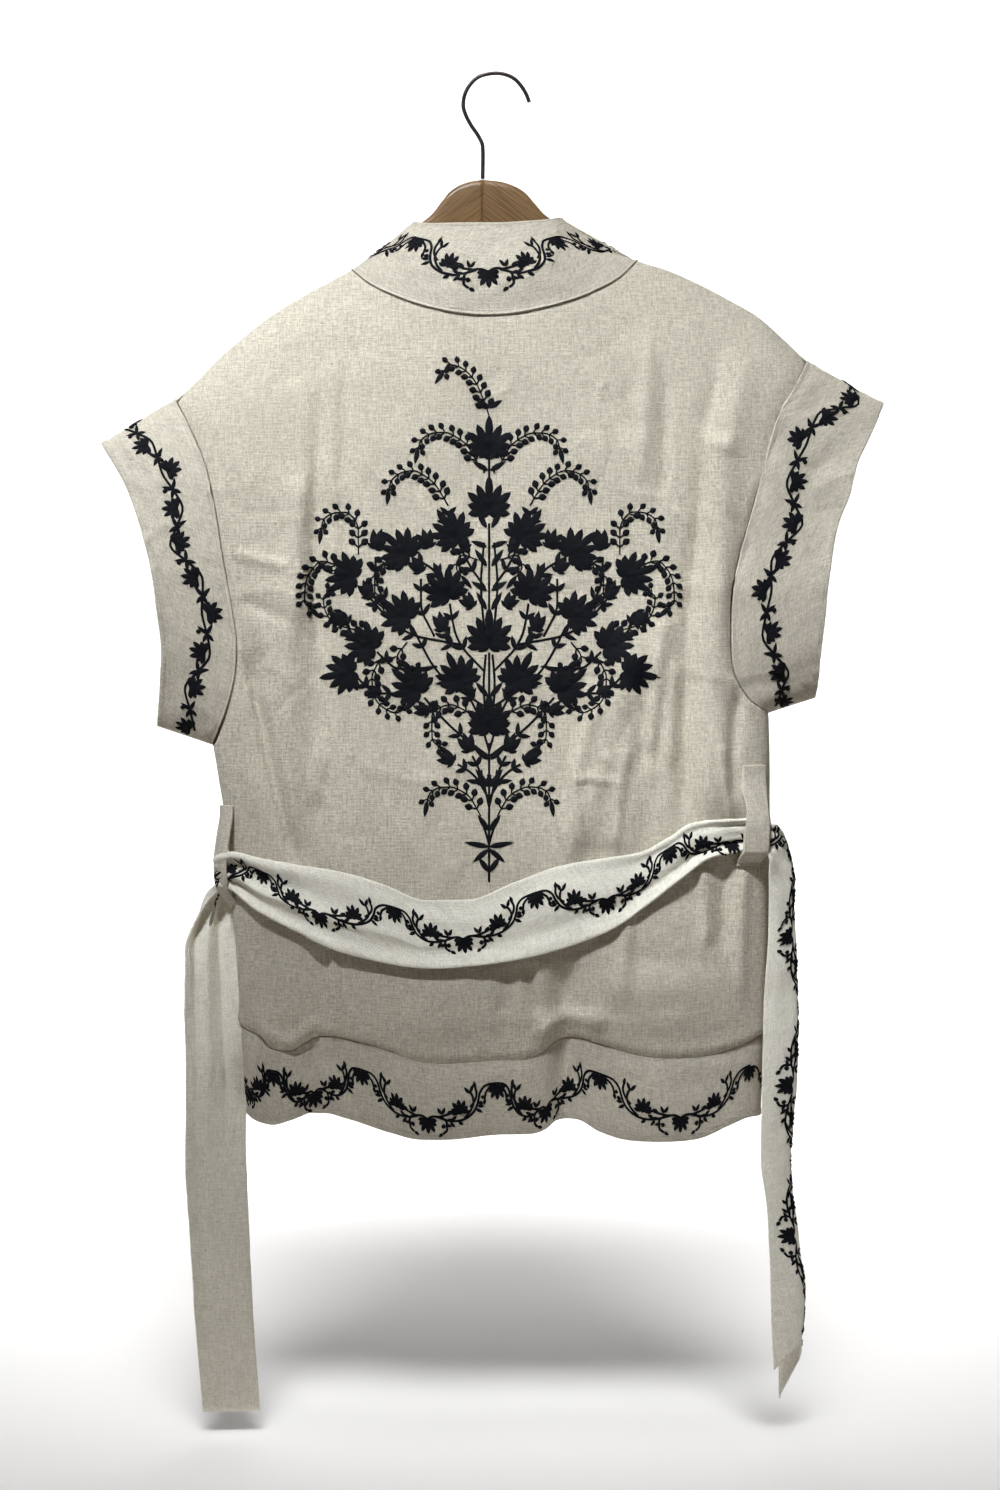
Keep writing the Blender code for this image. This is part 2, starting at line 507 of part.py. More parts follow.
# Sleeve bands: rings from the armhole seam out to the open cuff
for name, sign, armhole, cuff in (
    ("left", -1, ARMHOLE_LEFT, CUFF_LEFT),
    ("right", 1, ARMHOLE_RIGHT, CUFF_RIGHT),
):
    inner_plan = along(armhole, HIGH)
    outer_plan = along(cuff, HIGH)
    w = HIGH
    depth = CUFF_DEPTH * np.sin(np.pi * np.clip(w, 0, 1)) ** 0.62
    ring = []
    for face in (-1, 1):
        y_in = skin_depth(face, inner_plan[:, 0], inner_plan[:, 1]) + HALF_GAP
        y_in[0] = y_in[-1] = 0.0
        inner = np.stack([inner_plan[:, 0], face * y_in, inner_plan[:, 1]], 1)
        outer = np.stack([outer_plan[:, 0], face * depth, outer_plan[:, 1]], 1)
        ring.append((inner, outer))
    inner = np.vstack([ring[0][0], ring[1][0][::-1][1:]])
    outer = np.vstack([ring[0][1], ring[1][1][::-1][1:]])
    away = outer - inner
    away /= np.linalg.norm(away, axis=1, keepdims=True)
    inner = inner + away * 0.0008
    c = np.linspace(0, 1, 5)[None, :, None]
    points = (1 - c) * inner[:, None] + c * outer[:, None]
    cloth("sleeve_band_" + name, points, BAND_WALL, (0, 1, 0), ring=True)

# Belt: tail, through the left loop, across the back, through the right loop, tail
sections = []
for row in TAIL_LEFT[::-1]:
    sections.append(np.array(row).reshape(3, 3))
for x0, z0, x1, z1 in BELT_BACK:
    xs = np.array([x0, (x0 + x1) / 2, x1])
    zs = np.array([z0, (z0 + z1) / 2, z1])
    lifted = on_skin(-1, xs, zs, np.full(3, BELT_CLEAR + BELT_WALL + HALF_GAP))
    sections.append(lifted)
for row in TAIL_RIGHT:
    sections.append(np.array(row).reshape(3, 3))
flat = np.array(sections).reshape(len(sections), 9)
dense = curve_points(flat, 2).reshape(-1, 3, 3)
s = np.linspace(0, 1, 6)
weights = np.stack([2 * (s - 0.5) * (s - 1), 4 * s * (1 - s), 2 * s * (s - 0.5)], 1)
belt = np.einsum("kc,ncd->nkd", weights, dense)
cloth("belt", belt, BELT_WALL, (0, -1, 0))

# Loops
rows = np.array([(z, off) for z, off in LOOP_LEFT])
dense = curve_points(rows, 2)
x = -(read(WIDTH_LEFT, dense[:, 0]) + np.maximum(dense[:, 1], 0.0003) + LOOP_WALL)
ys = np.linspace(-LOOP_WIDTH / 2, LOOP_WIDTH / 2, 3)
points = np.stack([np.stack([x, np.full_like(x, y), dense[:, 0]], 1) for y in ys], 1)
cloth("belt_loop_left", points, LOOP_WALL, (-1, 0, 0))

dense = curve_points(np.array(LOOP_RIGHT), 2)
x0 = read(LOOP_RIGHT_X, dense[:, 0])
columns = []
for k in np.linspace(0, 1, 4):
    lift = np.maximum(dense[:, 1], 0.0004) + LOOP_WALL + HALF_GAP
    columns.append(on_skin(-1, x0 + k * LOOP_WIDTH * 0.85, dense[:, 0], lift))
cloth("belt_loop_right", np.stack(columns, 1), LOOP_WALL, (0, -1, 0))


def wood_arm(name, table):
    """A flat wooden arm with rounded edges, from sections along x."""
    dense = curve_points(table, 2)
    bm = bmesh.new()
    rings = []
    corner = ARM_THICK * 0.42
    half = ARM_THICK / 2
    for x, top, height in dense:
        low = top - height
        r = min(corner, height * 0.3)
        ring = []
        for cy, cz, a0 in ((half - r, top - r, 0), (-half + r, top - r, 90),
                           (-half + r, low + r, 180), (half - r, low + r, 270)):
            for k in range(4):
                a = np.radians(a0 + 30 * k)
                ring.append(bm.verts.new((x, cy + r * np.cos(a), cz + r * np.sin(a))))
        rings.append(ring)
    for one, two in zip(rings, rings[1:]):
        for k in range(len(one)):
            n = (k + 1) % len(one)
            bm.faces.new((one[k], one[n], two[n], two[k]))
    bm.faces.new(rings[0])
    bm.faces.new(rings[-1][::-1])
    bmesh.ops.recalc_face_normals(bm, faces=bm.faces)
    mesh = bpy.data.meshes.new(name)
    bm.to_mesh(mesh)
    bm.free()
    obj = bpy.data.objects.new(name, mesh)
    collection.objects.link(obj)
    obj.data.materials.append(material(name + "_wood", (0.38, 0.22, 0.11), 0.5))
    return obj


wood_arm("hanger_arm_left", ARM_LEFT)
wood_arm("hanger_arm_right", ARM_RIGHT)

wire = bpy.data.curves.new("hanger_hook", "CURVE")
wire.dimensions = "3D"
wire.bevel_depth = WIRE_RADIUS
wire.bevel_resolution = 2
wire.use_fill_caps = True
line = wire.splines.new("POLY")
path = curve_points(HOOK, 2)
line.points.add(len(path) - 1)
for point, (x, z) in zip(line.points, path):
    point.co = (x, 0, z, 1)
hook = bpy.data.objects.new("hanger_hook", wire)
collection.objects.link(hook)
wire.materials.append(material("hanger_hook_steel", (0.12, 0.12, 0.13), 0.35, 1.0))
print("made", len(collection.objects), "pieces")
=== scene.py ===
# %% [markdown]
# # A linen waistcoat on a wooden hanger
# The garment hangs with its back towards us. Its solids come from a imported model, which is the
# fixed frame: every cloth piece made here follows the form of its solid, and then adds what a
# solid is too coarse for, such as small creases, seams, stitches and black thread embroidery.
# We load the frame first, because each piece rides on its body.

# %% Load the imported model
import math

import bmesh
import bpy
import numpy as np
from mathutils import Matrix, Vector


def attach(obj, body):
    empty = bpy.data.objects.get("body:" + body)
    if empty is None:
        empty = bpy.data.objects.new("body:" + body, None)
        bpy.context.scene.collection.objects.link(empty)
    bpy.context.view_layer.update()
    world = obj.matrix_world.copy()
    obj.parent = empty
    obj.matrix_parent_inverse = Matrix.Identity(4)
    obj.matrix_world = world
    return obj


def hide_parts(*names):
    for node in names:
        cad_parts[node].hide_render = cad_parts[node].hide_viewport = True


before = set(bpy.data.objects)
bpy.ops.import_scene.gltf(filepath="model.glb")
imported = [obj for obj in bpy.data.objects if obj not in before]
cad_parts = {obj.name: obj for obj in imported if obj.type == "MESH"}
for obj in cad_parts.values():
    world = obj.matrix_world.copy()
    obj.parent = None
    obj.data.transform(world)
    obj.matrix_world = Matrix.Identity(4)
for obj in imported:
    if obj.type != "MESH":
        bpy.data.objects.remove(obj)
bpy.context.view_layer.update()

print("nodes in the frame:", len(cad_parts))

# %% [markdown]
# ## Camera
# The photograph looks straight at the back, level with the middle of the garment. A camera
# 2.2 m away with a long lens gives the same mild perspective: near folds look 2 to 3 percent
# larger than the hook. The picture is taller than wide, so the sensor's 36 mm lie upright.

# %% Camera
CAMERA_AT = (0.003, -2.2, -0.5021)
PICTURE_TALL = 1.1175
scene = bpy.context.scene
camera_data = bpy.data.cameras.new("camera")
camera_data.sensor_width = 36.0
camera_data.sensor_height = 36.0
camera_data.sensor_fit = "AUTO"
camera_data.lens = 36.0 * -CAMERA_AT[1] / PICTURE_TALL
camera = bpy.data.objects.new("camera", camera_data)
camera.location = CAMERA_AT
camera.rotation_euler = (math.radians(90), 0, 0)
scene.collection.objects.link(camera)
scene.camera = camera
scene.view_settings.view_transform = "Standard"
print("lens", round(camera_data.lens, 1), "mm")

# %% [markdown]
# ## Floor and light
# A pale sweep runs under and behind the garment, so that there is no horizon. The garment hangs
# just clear of it, and its soft shadow falls on the floor behind. One large soft light from the
# upper left models the folds, in a narrow beam, so that the hem hangs in shade as it does in the
# photograph. A weak one opens the right side, one stands overhead, and one behind keeps the
# sweep white. The last one reaches only the sweep: it draws the garment's soft shadow on the
# floor, in the middle, and light linking keeps it off the cloth and the first light off the floor.

# %% Floor and backdrop
FLOOR_Z = -1.02
WALL_Y = 2.6
SWEEP_RADIUS = 1.4
SWEEP_HALF_WIDTH = 7.0
STRAIGHT = 6.0


def set_inputs(tree, made, settings):
    """Sets a node's inputs; a socket is linked to its input."""
    for key, value in settings.items():
        if isinstance(value, bpy.types.NodeSocket):
            tree.links.new(value, made.inputs[key])
        else:
            made.inputs[key].default_value = value


def new_material(name, settings):
    """A material with these inputs of its shader set, its node tree and its shader."""
    made = bpy.data.materials.new(name)
    made.use_nodes = True
    shader = made.node_tree.nodes["Principled BSDF"]
    set_inputs(made.node_tree, shader, settings)
    return made, made.node_tree, shader


PAPER = new_material("pale_paper", {"Base Color": (0.93, 0.93, 0.93, 1), "Roughness": 0.9})[0]


def build_sweep():
    """Floor, a rounded corner and wall in one sheet."""
    bm = bmesh.new()
    bmesh.ops.create_grid(bm, x_segments=1, y_segments=80, size=1)
    arc = SWEEP_RADIUS * math.pi / 2
    for v in bm.verts:
        t = (v.co.y + 1) / 2 * (2 * STRAIGHT + arc)
        x = v.co.x * SWEEP_HALF_WIDTH
        if t < STRAIGHT:
            v.co = (x, WALL_Y - SWEEP_RADIUS - STRAIGHT + t, FLOOR_Z)
        elif t < STRAIGHT + arc:
            a = (t - STRAIGHT) / SWEEP_RADIUS
            v.co = (x, WALL_Y - SWEEP_RADIUS + SWEEP_RADIUS * math.sin(a),
                    FLOOR_Z + SWEEP_RADIUS * (1 - math.cos(a)))
        else:
            v.co = (x, WALL_Y, FLOOR_Z + SWEEP_RADIUS + t - STRAIGHT - arc)
    mesh = bpy.data.meshes.new("sweep")
    bm.to_mesh(mesh)
    bm.free()
    for face in mesh.polygons:
        face.use_smooth = True
    obj = bpy.data.objects.new("sweep", mesh)
    mesh.materials.append(PAPER)
    scene.collection.objects.link(obj)
    return obj


sweep = build_sweep()

# %% Lights
LIGHTS = (  # name, place, width and height, watts, spread in degrees, aim, tint
    ("key", (-0.80, -1.90, 2.00), (0.9, 0.25), 2.22, 14, (0.01, 0, -0.375), (0.87, 0.94, 1.0)),
    ("fill", (1.2, -2.2, 0.5), (1.4, 1.4), 0.3, 120, (0, 0, -0.3), (1.0, 0.88, 0.74)),
    ("top", (0, -0.75, 1.9), (0.9, 0.9), 3.5, 100, (0, 0.5, -1.02), (1.0, 0.97, 0.93)),
    ("backdrop_light", (0, 1.3, 2.4), (1.6, 1.6), 48, 90, (0, 2.8, 0.3), (1.0, 1.0, 1.0)),
    ("floor_light", (0, -1.7, 1.05), (1.5, 1.1), 13, 40, (0, 1.15, -1.0), (1.0, 1.0, 1.0)),
)
ONLY = {"floor_light": "INCLUDE", "key": "EXCLUDE"}  # what these two lights do with the sweep
for name, place, size, watts, spread, aim, tint in LIGHTS:
    data = bpy.data.lights.new(name, "AREA")
    data.shape = "RECTANGLE"
    data.size, data.size_y = size
    data.energy = watts
    data.color = tint
    data.spread = math.radians(spread)
    lamp = bpy.data.objects.new(name, data)
    lamp.location = place
    lamp.rotation_euler = (Vector(aim) - Vector(place)).to_track_quat("-Z", "Y").to_euler()
    scene.collection.objects.link(lamp)
    if name in ONLY:
        group = bpy.data.collections.new(name + "_and_the_sweep")
        group.objects.link(sweep)
        group.collection_objects[0].light_linking.link_state = ONLY[name]
        lamp.light_linking.receiver_collection = group
world = bpy.data.worlds.new("pale_room")
world.use_nodes = True
set_inputs(world.node_tree, world.node_tree.nodes["Background"],
           {"Color": (1.0, 0.92, 0.82, 1), "Strength": 0.06})
scene.world = world
print("lights:", [row[0] for row in LIGHTS])

# %% [markdown]
# ## The form of the garment
# A hanging garment is a flat bag. From the front it is a pattern of seam lines, which we keep as
# short tables of x and z, or of z and a width or depth there. Its depth follows from three things
# multiplied together: how deep the bag is at that height, an oval section that closes at the side
# seams, and a rounded drop under the ridge where the cloth bends over the hanger. Folds are soft
# ridges and troughs added to the depth. Every piece reads the same form, so seams meet and pieces
# that lie on others fit.

# %% Tables of the form, in tenths of a millimetre
def tenths(*rows):
    """Rows of numbers given in tenths of a millimetre, in metres."""
    return tuple(tuple(value / 10000 for value in row) for row in rows)


RIDGE = tenths(
    (-2963, -2756), (-2662, -2591), (-2400, -2434), (-2235, -2290), (-2100, -2150), (-1920, -1990),
    (-1732, -1840), (-1500, -1690), (-1253, -1555), (-1080, -1460), (-833, -1290), (-607, -1099),
    (-532, -1072), (-420, -1031), (-270, -990), (-67, -971), (142, -978), (292, -1005),
    (405, -1038), (480, -1069), (660, -1195), (833, -1300), (1072, -1398), (1313, -1475),
    (1492, -1555), (1733, -1680), (1988, -1833), (2152, -1980), (2333, -2141), (2580, -2298),
    (2910, -2456),
)
WIDTH_LEFT = tenths(
    (-11000, 1870), (-7780, 1870), (-7128, 1913), (-6746, 1935), (-6333, 1965), (-6034, 1988),
    (-5734, 2010), (-5508, 2040), (-5283, 2077), (-5021, 2122), (-4800, 2180), (-4400, 2360),
    (-3700, 2600), (-3000, 2860), (-2400, 3100), (-900, 3300),
)
WIDTH_RIGHT = tenths(
    (-11000, 1980), (-7780, 1980), (-7173, 2018), (-6784, 2033), (-6183, 2040), (-5584, 2048),
    (-5133, 2048), (-4781, 2040), (-4600, 2080), (-4100, 2260), (-3600, 2420), (-2900, 2700),
    (-2200, 3050), (-900, 3250),
)
DEPTH = tenths(
    (-11000, 600), (-7900, 600), (-7300, 530), (-7000, 580), (-6400, 570), (-5600, 530),
    (-4800, 480), (-4000, 460), (-2500, 470), (-900, 480),
)
SHAPE_LEFT = 2.4
SHAPE_RIGHT = 3.2
FRONT_SHARE = 0.86
SHOULDER_DROP = 0.16
SEAM_HALF = 0.0003
CENTRE_GAP = 0.005
SEAM_TO_CENTRE = 0.070
BAND_END = -0.7840
UNDERARM_V = 0.55

# %% Tables of the seams and edges, in tenths of a millimetre
NECK_SEAM = tenths(
    (-1080, -1462), (-967, -1575), (-747, -1700), (-449, -1806), (-66, -1855), (325, -1806),
    (696, -1680), (938, -1530), (1058, -1394),
)
NECK_FREE = tenths(
    (-607, -1101), (-550, -1122), (-342, -1140), (-67, -1145), (216, -1128), (425, -1092),
    (480, -1070),
)
ARMHOLE_LEFT = tenths(
    (-2400, -2434), (-2282, -2656), (-2160, -2927), (-2080, -3259), (-2019, -3645), (-1953, -4022),
    (-1923, -4281), (-1947, -4555), (-2029, -4820), (-2122, -5021),
)
ARMHOLE_RIGHT = tenths(
    (2333, -2141), (2201, -2395), (2089, -2583), (2001, -2895), (1902, -3253), (1798, -3638),
    (1739, -4022), (1739, -4244), (1786, -4539), (1905, -4701), (2040, -4781),
)
CUFF_LEFT = tenths(
    (-2963, -2756), (-2764, -3081), (-2636, -3414), (-2559, -3704), (-2507, -4096), (-2488, -4318),
    (-2512, -4620), (-2542, -4879),
)
CUFF_RIGHT = tenths(
    (2910, -2456), (2801, -2697), (2686, -2929), (2622, -3177), (2538, -3393), (2479, -3697),
    (2442, -4118), (2416, -4354), (2405, -4559), (2393, -4668),
)
CUFF_DEPTH = 0.030
HEM_SEAM_BACK = tenths(
    (-1913, -7128), (-1850, -7147), (-1756, -7184), (-1659, -7275), (-1524, -7286), (-1403, -7225),
    (-1309, -7177), (-1182, -7174), (-1033, -7205), (-847, -7250), (-590, -7331), (-407, -7351),
    (30, -7331), (213, -7329), (360, -7270), (461, -7195), (581, -7175), (762, -7218),
    (1051, -7297), (1342, -7317), (1639, -7295), (1875, -7220), (1970, -7184), (2018, -7173),
)
HEM_EDGE_BACK = tenths(
    (-1867, -7773), (-1812, -7795), (-1660, -7827), (-1509, -7784), (-1308, -7718), (-1106, -7755),
    (-772, -7852), (-552, -7895), (-334, -7893), (30, -7861), (249, -7859), (360, -7830),
    (450, -7769), (581, -7761), (762, -7845), (941, -7900), (1230, -7915), (1488, -7900),
    (1717, -7816), (1894, -7768), (1980, -7773),
)
FREE_LEFT = tenths(
    (607, -1101), (600, -1300), (560, -1700), (480, -2250), (370, -2850), (250, -3400),
    (140, -3900), (70, -4350), (50, -4900), (50, -7200),
)
FREE_RIGHT = tenths(
    (480, -1070), (500, -1300), (490, -1700), (430, -2250), (340, -2850), (235, -3400),
    (135, -3900), (70, -4350), (50, -4900), (50, -7200),
)
SEAM_LEFT = tenths(
    (1080, -1462), (1090, -1700), (1070, -2200), (1020, -2800), (935, -3400), (840, -4000),
    (755, -4600), (710, -5200), (700, -5600), (700, -7200),
)
SEAM_RIGHT = tenths(
    (1058, -1394), (1070, -1700), (1050, -2200), (1000, -2800), (920, -3400), (830, -4000),
    (750, -4600), (710, -5200), (700, -5600), (700, -7200),
)
HEM_SEAM_FRONT = tenths((700, -7200), (1000, -7230), (1350, -7205), (1700, -7180))
HEM_EDGE_FRONT = tenths((700, -7840), (1000, -7860), (1350, -7835), (1700, -7800))

# %% [markdown]
# ## Folds
# Each row is one fold, in tenths of a millimetre: how wide it is to its left and to its right,
# how high it is, and the points it runs along from its top. A negative height is a trough. A
# fold that is narrow on one side and wide on the other is a lap: one edge is crisp and the other
# fades out. The first rows are the large ones that the solids have too. The finer ones follow the
# photograph: long falls from the shoulders, drags from the underarms and short puckers where
# the sash and the hem seam hold the cloth. They are uneven on purpose.

# %% Folds of each face: half width left, half width right, height, then the points
BACK, FRONT = -1, 1
FOLDS = {
    BACK: (  # the first 15 are the solid's
        ((130, 130, 60), (1880, -2100), (1660, -2900)),
        ((130, 130, 70), (1660, -2700), (1640, -4000)),
        ((140, 140, 75), (1640, -3800), (1580, -5600)),
        ((110, 110, -50), (1680, -2200), (1500, -3700)),
        ((110, 110, -60), (1500, -3500), (1400, -5700)),
        ((160, 160, -40), (-1110, -1900), (-1280, -3600)),
        ((150, 150, -50), (-1280, -3300), (-1360, -6200)),
        ((120, 120, -60), (-1840, -4300), (-1460, -6000)),
        ((120, 120, 45), (-1550, -3600), (-1500, -6000)),
        ((140, 140, 55), (1060, -4200), (580, -5800)),
        ((120, 120, -35), (1290, -4600), (980, -6400)),
        ((110, 110, -110), (500, -6600), (520, -8000)),
        ((120, 120, -70), (-1280, -6400), (-1320, -8000)),
        ((360, 360, 70), (-450, -6600), (-450, -8100)),
        ((340, 340, 75), (1220, -6600), (1220, -8100)),
        # the long lap on the right of the back, and the falls beside it
        ((24, 120, 42), (1773, -2030), (1686, -2260), (1599, -2640), (1555, -3100), (1511, -3710),
                        (1452, -4150), (1437, -4730), (1437, -5600)),
        ((100, 18, -14), (1599, -2640), (1511, -3710), (1437, -4730), (1437, -5600)),
        ((50, 50, -30), (1800, -4600), (1760, -4900), (1735, -5150), (1770, -5450)),
        ((30, 60, 30), (1660, -5000), (1680, -5300), (1740, -5560)),
        ((60, 60, 20), (1130, -1900), (1110, -2400), (1060, -3100)),
        ((50, 50, -16), (1260, -2300), (1230, -3200)),
        ((45, 70, 26), (1230, -4050), (1170, -4550), (1105, -5100)),
        ((40, 60, 24), (1330, -4400), (1290, -4800), (1255, -5200)),
        ((60, 30, -20), (1150, -4500), (1080, -5200)),
        ((22, 80, 30), (760, -4620), (640, -4940), (560, -5300), (540, -5900)),
        ((20, 40, 12), (560, -5290), (700, -5270), (880, -5310)),
        ((60, 40, 18), (980, -5000), (900, -5400), (880, -5800)),
        # the left of the back
        ((80, 60, 24), (-1190, -2000), (-1210, -3000), (-1180, -4000)),
        ((50, 50, -20), (-1290, -2400), (-1340, -3600), (-1300, -4500)),
        ((80, 80, -22), (-1560, -2050), (-1500, -2350)),
        ((70, 70, 20), (-1430, -3000), (-1480, -4200)),
        ((24, 100, -40), (-1860, -4300), (-1760, -4800), (-1620, -5400), (-1500, -5900)),
        ((60, 50, 26), (-1740, -4500), (-1600, -5100), (-1440, -5800)),
        ((40, 60, 22), (-1300, -5000), (-1340, -5600), (-1320, -6000)),
        ((22, 80, -24), (-1360, -5400), (-1345, -6100)),
        ((40, 40, 16), (-1860, -5000), (-1780, -5600)),
        ((40, 40, 14), (-1950, -3600), (-1500, -3720)),
        ((45, 45, -12), (-1880, -3950), (-1500, -4120)),
        # below the sash
        ((14, 40, 32), (-1210, -6520), (-1165, -6900), (-1220, -7150)),
        ((30, 50, 34), (-1860, -6900), (-1700, -7160), (-1500, -7220), (-1320, -7060)),
        ((100, 80, -28), (-1750, -6400), (-1620, -7000)),
        ((60, 60, 34), (300, -7160), (480, -7000), (820, -7040)),
        ((50, 50, -26), (220, -6600), (300, -7000)),
        ((40, 60, 30), (1520, -5900), (1540, -6500)),
        ((60, 50, 32), (1830, -5900), (1800, -6900)),
        ((50, 50, -26), (1680, -5900), (1670, -6500)),
        ((60, 60, 22), (980, -6100), (900, -6900)),
        ((80, 80, -14), (100, -6500), (60, -7200)),
        ((50, 50, 24), (-1760, -7250), (-1790, -7900)),
        ((50, 50, -24), (-1880, -7200), (-1900, -7900)),
    ),
    FRONT: (  # the first 6 are the solid's
        ((140, 140, -50), (-1500, -2000), (-1400, -5200)),
        ((130, 130, 50), (-1750, -4400), (-1200, -6200)),
        ((140, 140, 60), (1480, -2000), (1400, -6000)),
        ((120, 120, -45), (1800, -4200), (1200, -6400)),
        ((180, 180, 60), (-1100, -6000), (-1150, -8100)),
        ((180, 180, -60), (1050, -6000), (1100, -8100)),
        # finer folds of the fronts
        ((70, 70, 22), (-1250, -2100), (-1200, -4800)),
        ((30, 80, 34), (-1700, -2600), (-1620, -4000), (-1560, -5600)),
        ((60, 60, 22), (-1800, -4700), (-1600, -6400)),
        ((70, 70, -20), (-950, -5200), (-1000, -6800)),
        ((70, 70, -20), (1230, -2000), (1180, -4200)),
        ((80, 30, 36), (1640, -2500), (1560, -3800), (1540, -5400)),
        ((60, 60, 22), (1720, -4500), (1640, -6500)),
        ((70, 70, 20), (1000, -4200), (950, -6000)),
        ((30, 60, 28), (1880, -5000), (1560, -5600), (1300, -6400)),
        ((50, 50, 16), (-1600, -5600), (-1880, -5750)),
    ),
}


# %% Reading the tables smoothly
def slopes(knots, values):
    """Slopes of a smooth line through uneven knots, without overshoot at a flat stretch."""
    gaps = np.diff(knots)
    rise = np.diff(values, axis=0) / gaps[:, None]
    inner = rise[:-1] * gaps[1:, None] + rise[1:] * gaps[:-1, None]
    inner = inner / (gaps[:-1] + gaps[1:])[:, None]
    limit = 3 * np.minimum(np.abs(rise[:-1]), np.abs(rise[1:]))
    inner = np.where(rise[:-1] * rise[1:] <= 0, 0.0, np.clip(inner, -limit, limit))
    return np.vstack([rise[0], inner, rise[-1]])


def hermite(knots, values, where):
    """Values of the smooth line through the knots, at where."""
    knots, values = np.asarray(knots, float), np.asarray(values, float)
    m = slopes(knots, values)
    where = np.clip(where, knots[0], knots[-1])
    i = np.clip(np.searchsorted(knots, where, side="right") - 1, 0, len(knots) - 2)
    gap = knots[i + 1] - knots[i]
    t = ((where - knots[i]) / gap)[..., None]
    gap = gap[..., None]
    return (values[i] * (1 + 2 * t) * (1 - t) ** 2 + m[i] * gap * t * (1 - t) ** 2
            + values[i + 1] * t * t * (3 - 2 * t) + m[i + 1] * gap * t * t * (t - 1))


def curve_points(points, steps=10):
    """A smooth dense line through points of two coordinates or more."""
    pts = np.array(points, float)
    chords = np.linalg.norm(np.diff(pts, axis=0), axis=1)
    knots = np.concatenate([[0.0], np.cumsum(chords)])
    share = np.arange(0, steps) / steps
    where = np.concatenate([knots[i] + share * chords[i] for i in range(len(chords))])
    return hermite(knots, pts, np.append(where, knots[-1]))


def along(points, shares):
    """Points at these shares of the length of the line."""
    dense = curve_points(points)
    steps = np.linalg.norm(np.diff(dense, axis=0), axis=1)
    length = np.concatenate([[0.0], np.cumsum(steps)])
    length /= length[-1]
    return np.stack([np.interp(shares, length, dense[:, k]) for k in range(dense.shape[1])], 1)


def read(table, value):
    rows = np.array(sorted(table), float)
    return hermite(rows[:, 0], rows[:, 1:], np.asarray(value, float))[..., 0]


# %% [markdown]
# ## Relief of the cloth
# Between its folds linen is never smooth: it keeps long shallow waves, soft dents and short
# sharp puckers from being worn and hung. These come from a small table of seeded noise, the
# same on every run. Folds and dents together are the relief. It is worked out once, on a fine
# grid of 1 mm for each face, and then only looked up, because many pieces ask for it.


# %% Noise and relief
LATTICE = 64


def soft_noise(u, v, seed):
    """Smooth noise from -1 to 1 on a seeded lattice, which repeats after its own size."""
    lattice = np.random.RandomState(seed).uniform(-1, 1, (LATTICE, LATTICE))
    i, j = np.floor(u).astype(int), np.floor(v).astype(int)
    f, g = u - i, v - j
    f, g = f * f * f * (f * (6 * f - 15) + 10), g * g * g * (g * (6 * g - 15) + 10)
    i0, i1, j0, j1 = i % LATTICE, (i + 1) % LATTICE, j % LATTICE, (j + 1) % LATTICE
    return ((lattice[i0, j0] * (1 - f) + lattice[i1, j0] * f) * (1 - g)
            + (lattice[i0, j1] * (1 - f) + lattice[i1, j1] * f) * g)


def crumple(u, v, seed):
    """Dents and puckers of worn linen, in metres, for places in metres."""
    drift = 0.35 * v + 0.010 * soft_noise(u / 0.06, v / 0.06, seed + 1)
    waves = 0.0013 * soft_noise(u / 0.045, v / 0.130, seed + 2)
    dents = 0.0008 * soft_noise((u + drift) / 0.022, v / 0.036, seed + 3)
    ridge = 1 - np.abs(soft_noise((u + drift) / 0.030, v / 0.070, seed + 4))
    other = 1 - np.abs(soft_noise((u - drift) / 0.034, v / 0.060, seed + 5))
    fine = 0.00022 * soft_noise(u / 0.0065, v / 0.009, seed + 6)
    return waves + dents + 0.0011 * ridge**7 - 0.0009 * other**8 + fine


FINE_FOLDS = 1.9  # the narrow folds stand this much higher than their rows say
FINE_WIDTH = 0.0105


def fold_height(face, x, z):
    total = np.zeros_like(x)
    for row in FOLDS[face]:
        (left, right, height), *line = tenths(*row)
        height *= FINE_FOLDS if max(left, right) < FINE_WIDTH else 1
        reach = 3 * max(left, right)
        rows = np.array(line)
        near = ((x > rows[:, 0].min() - reach) & (x < rows[:, 0].max() + reach)
                & (z > rows[:, 1].min() - reach) & (z < rows[:, 1].max() + reach))
        px, pz = x[near], z[near]
        best = np.full(px.shape, 1e9)
        across = np.zeros(px.shape)
        share = np.zeros(px.shape)
        steps = np.linalg.norm(np.diff(rows, axis=0), axis=1)
        run = np.concatenate([[0], np.cumsum(steps)])
        for (x0, z0), (x1, z1), start, step in zip(rows[:-1], rows[1:], run, steps):
            dx, dz = (x1 - x0) / step, (z1 - z0) / step
            t = np.clip((px - x0) * dx + (pz - z0) * dz, 0, step)
            away = np.hypot(px - x0 - dx * t, pz - z0 - dz * t)
            sign = np.sign((pz - z0) * dx - (px - x0) * dz)
            closer = away < best
            best = np.where(closer, away, best)
            across = np.where(closer, away * sign, across)
            share = np.where(closer, (start + t) / run[-1], share)
        half = np.where(across < 0, left, right)
        ends = np.clip(np.minimum(share, 1 - share) / 0.22 + 0.30, 0, 1)
        total[near] += height * np.exp(-((across / half) ** 2)) * ends * ends * (3 - 2 * ends)
    return total


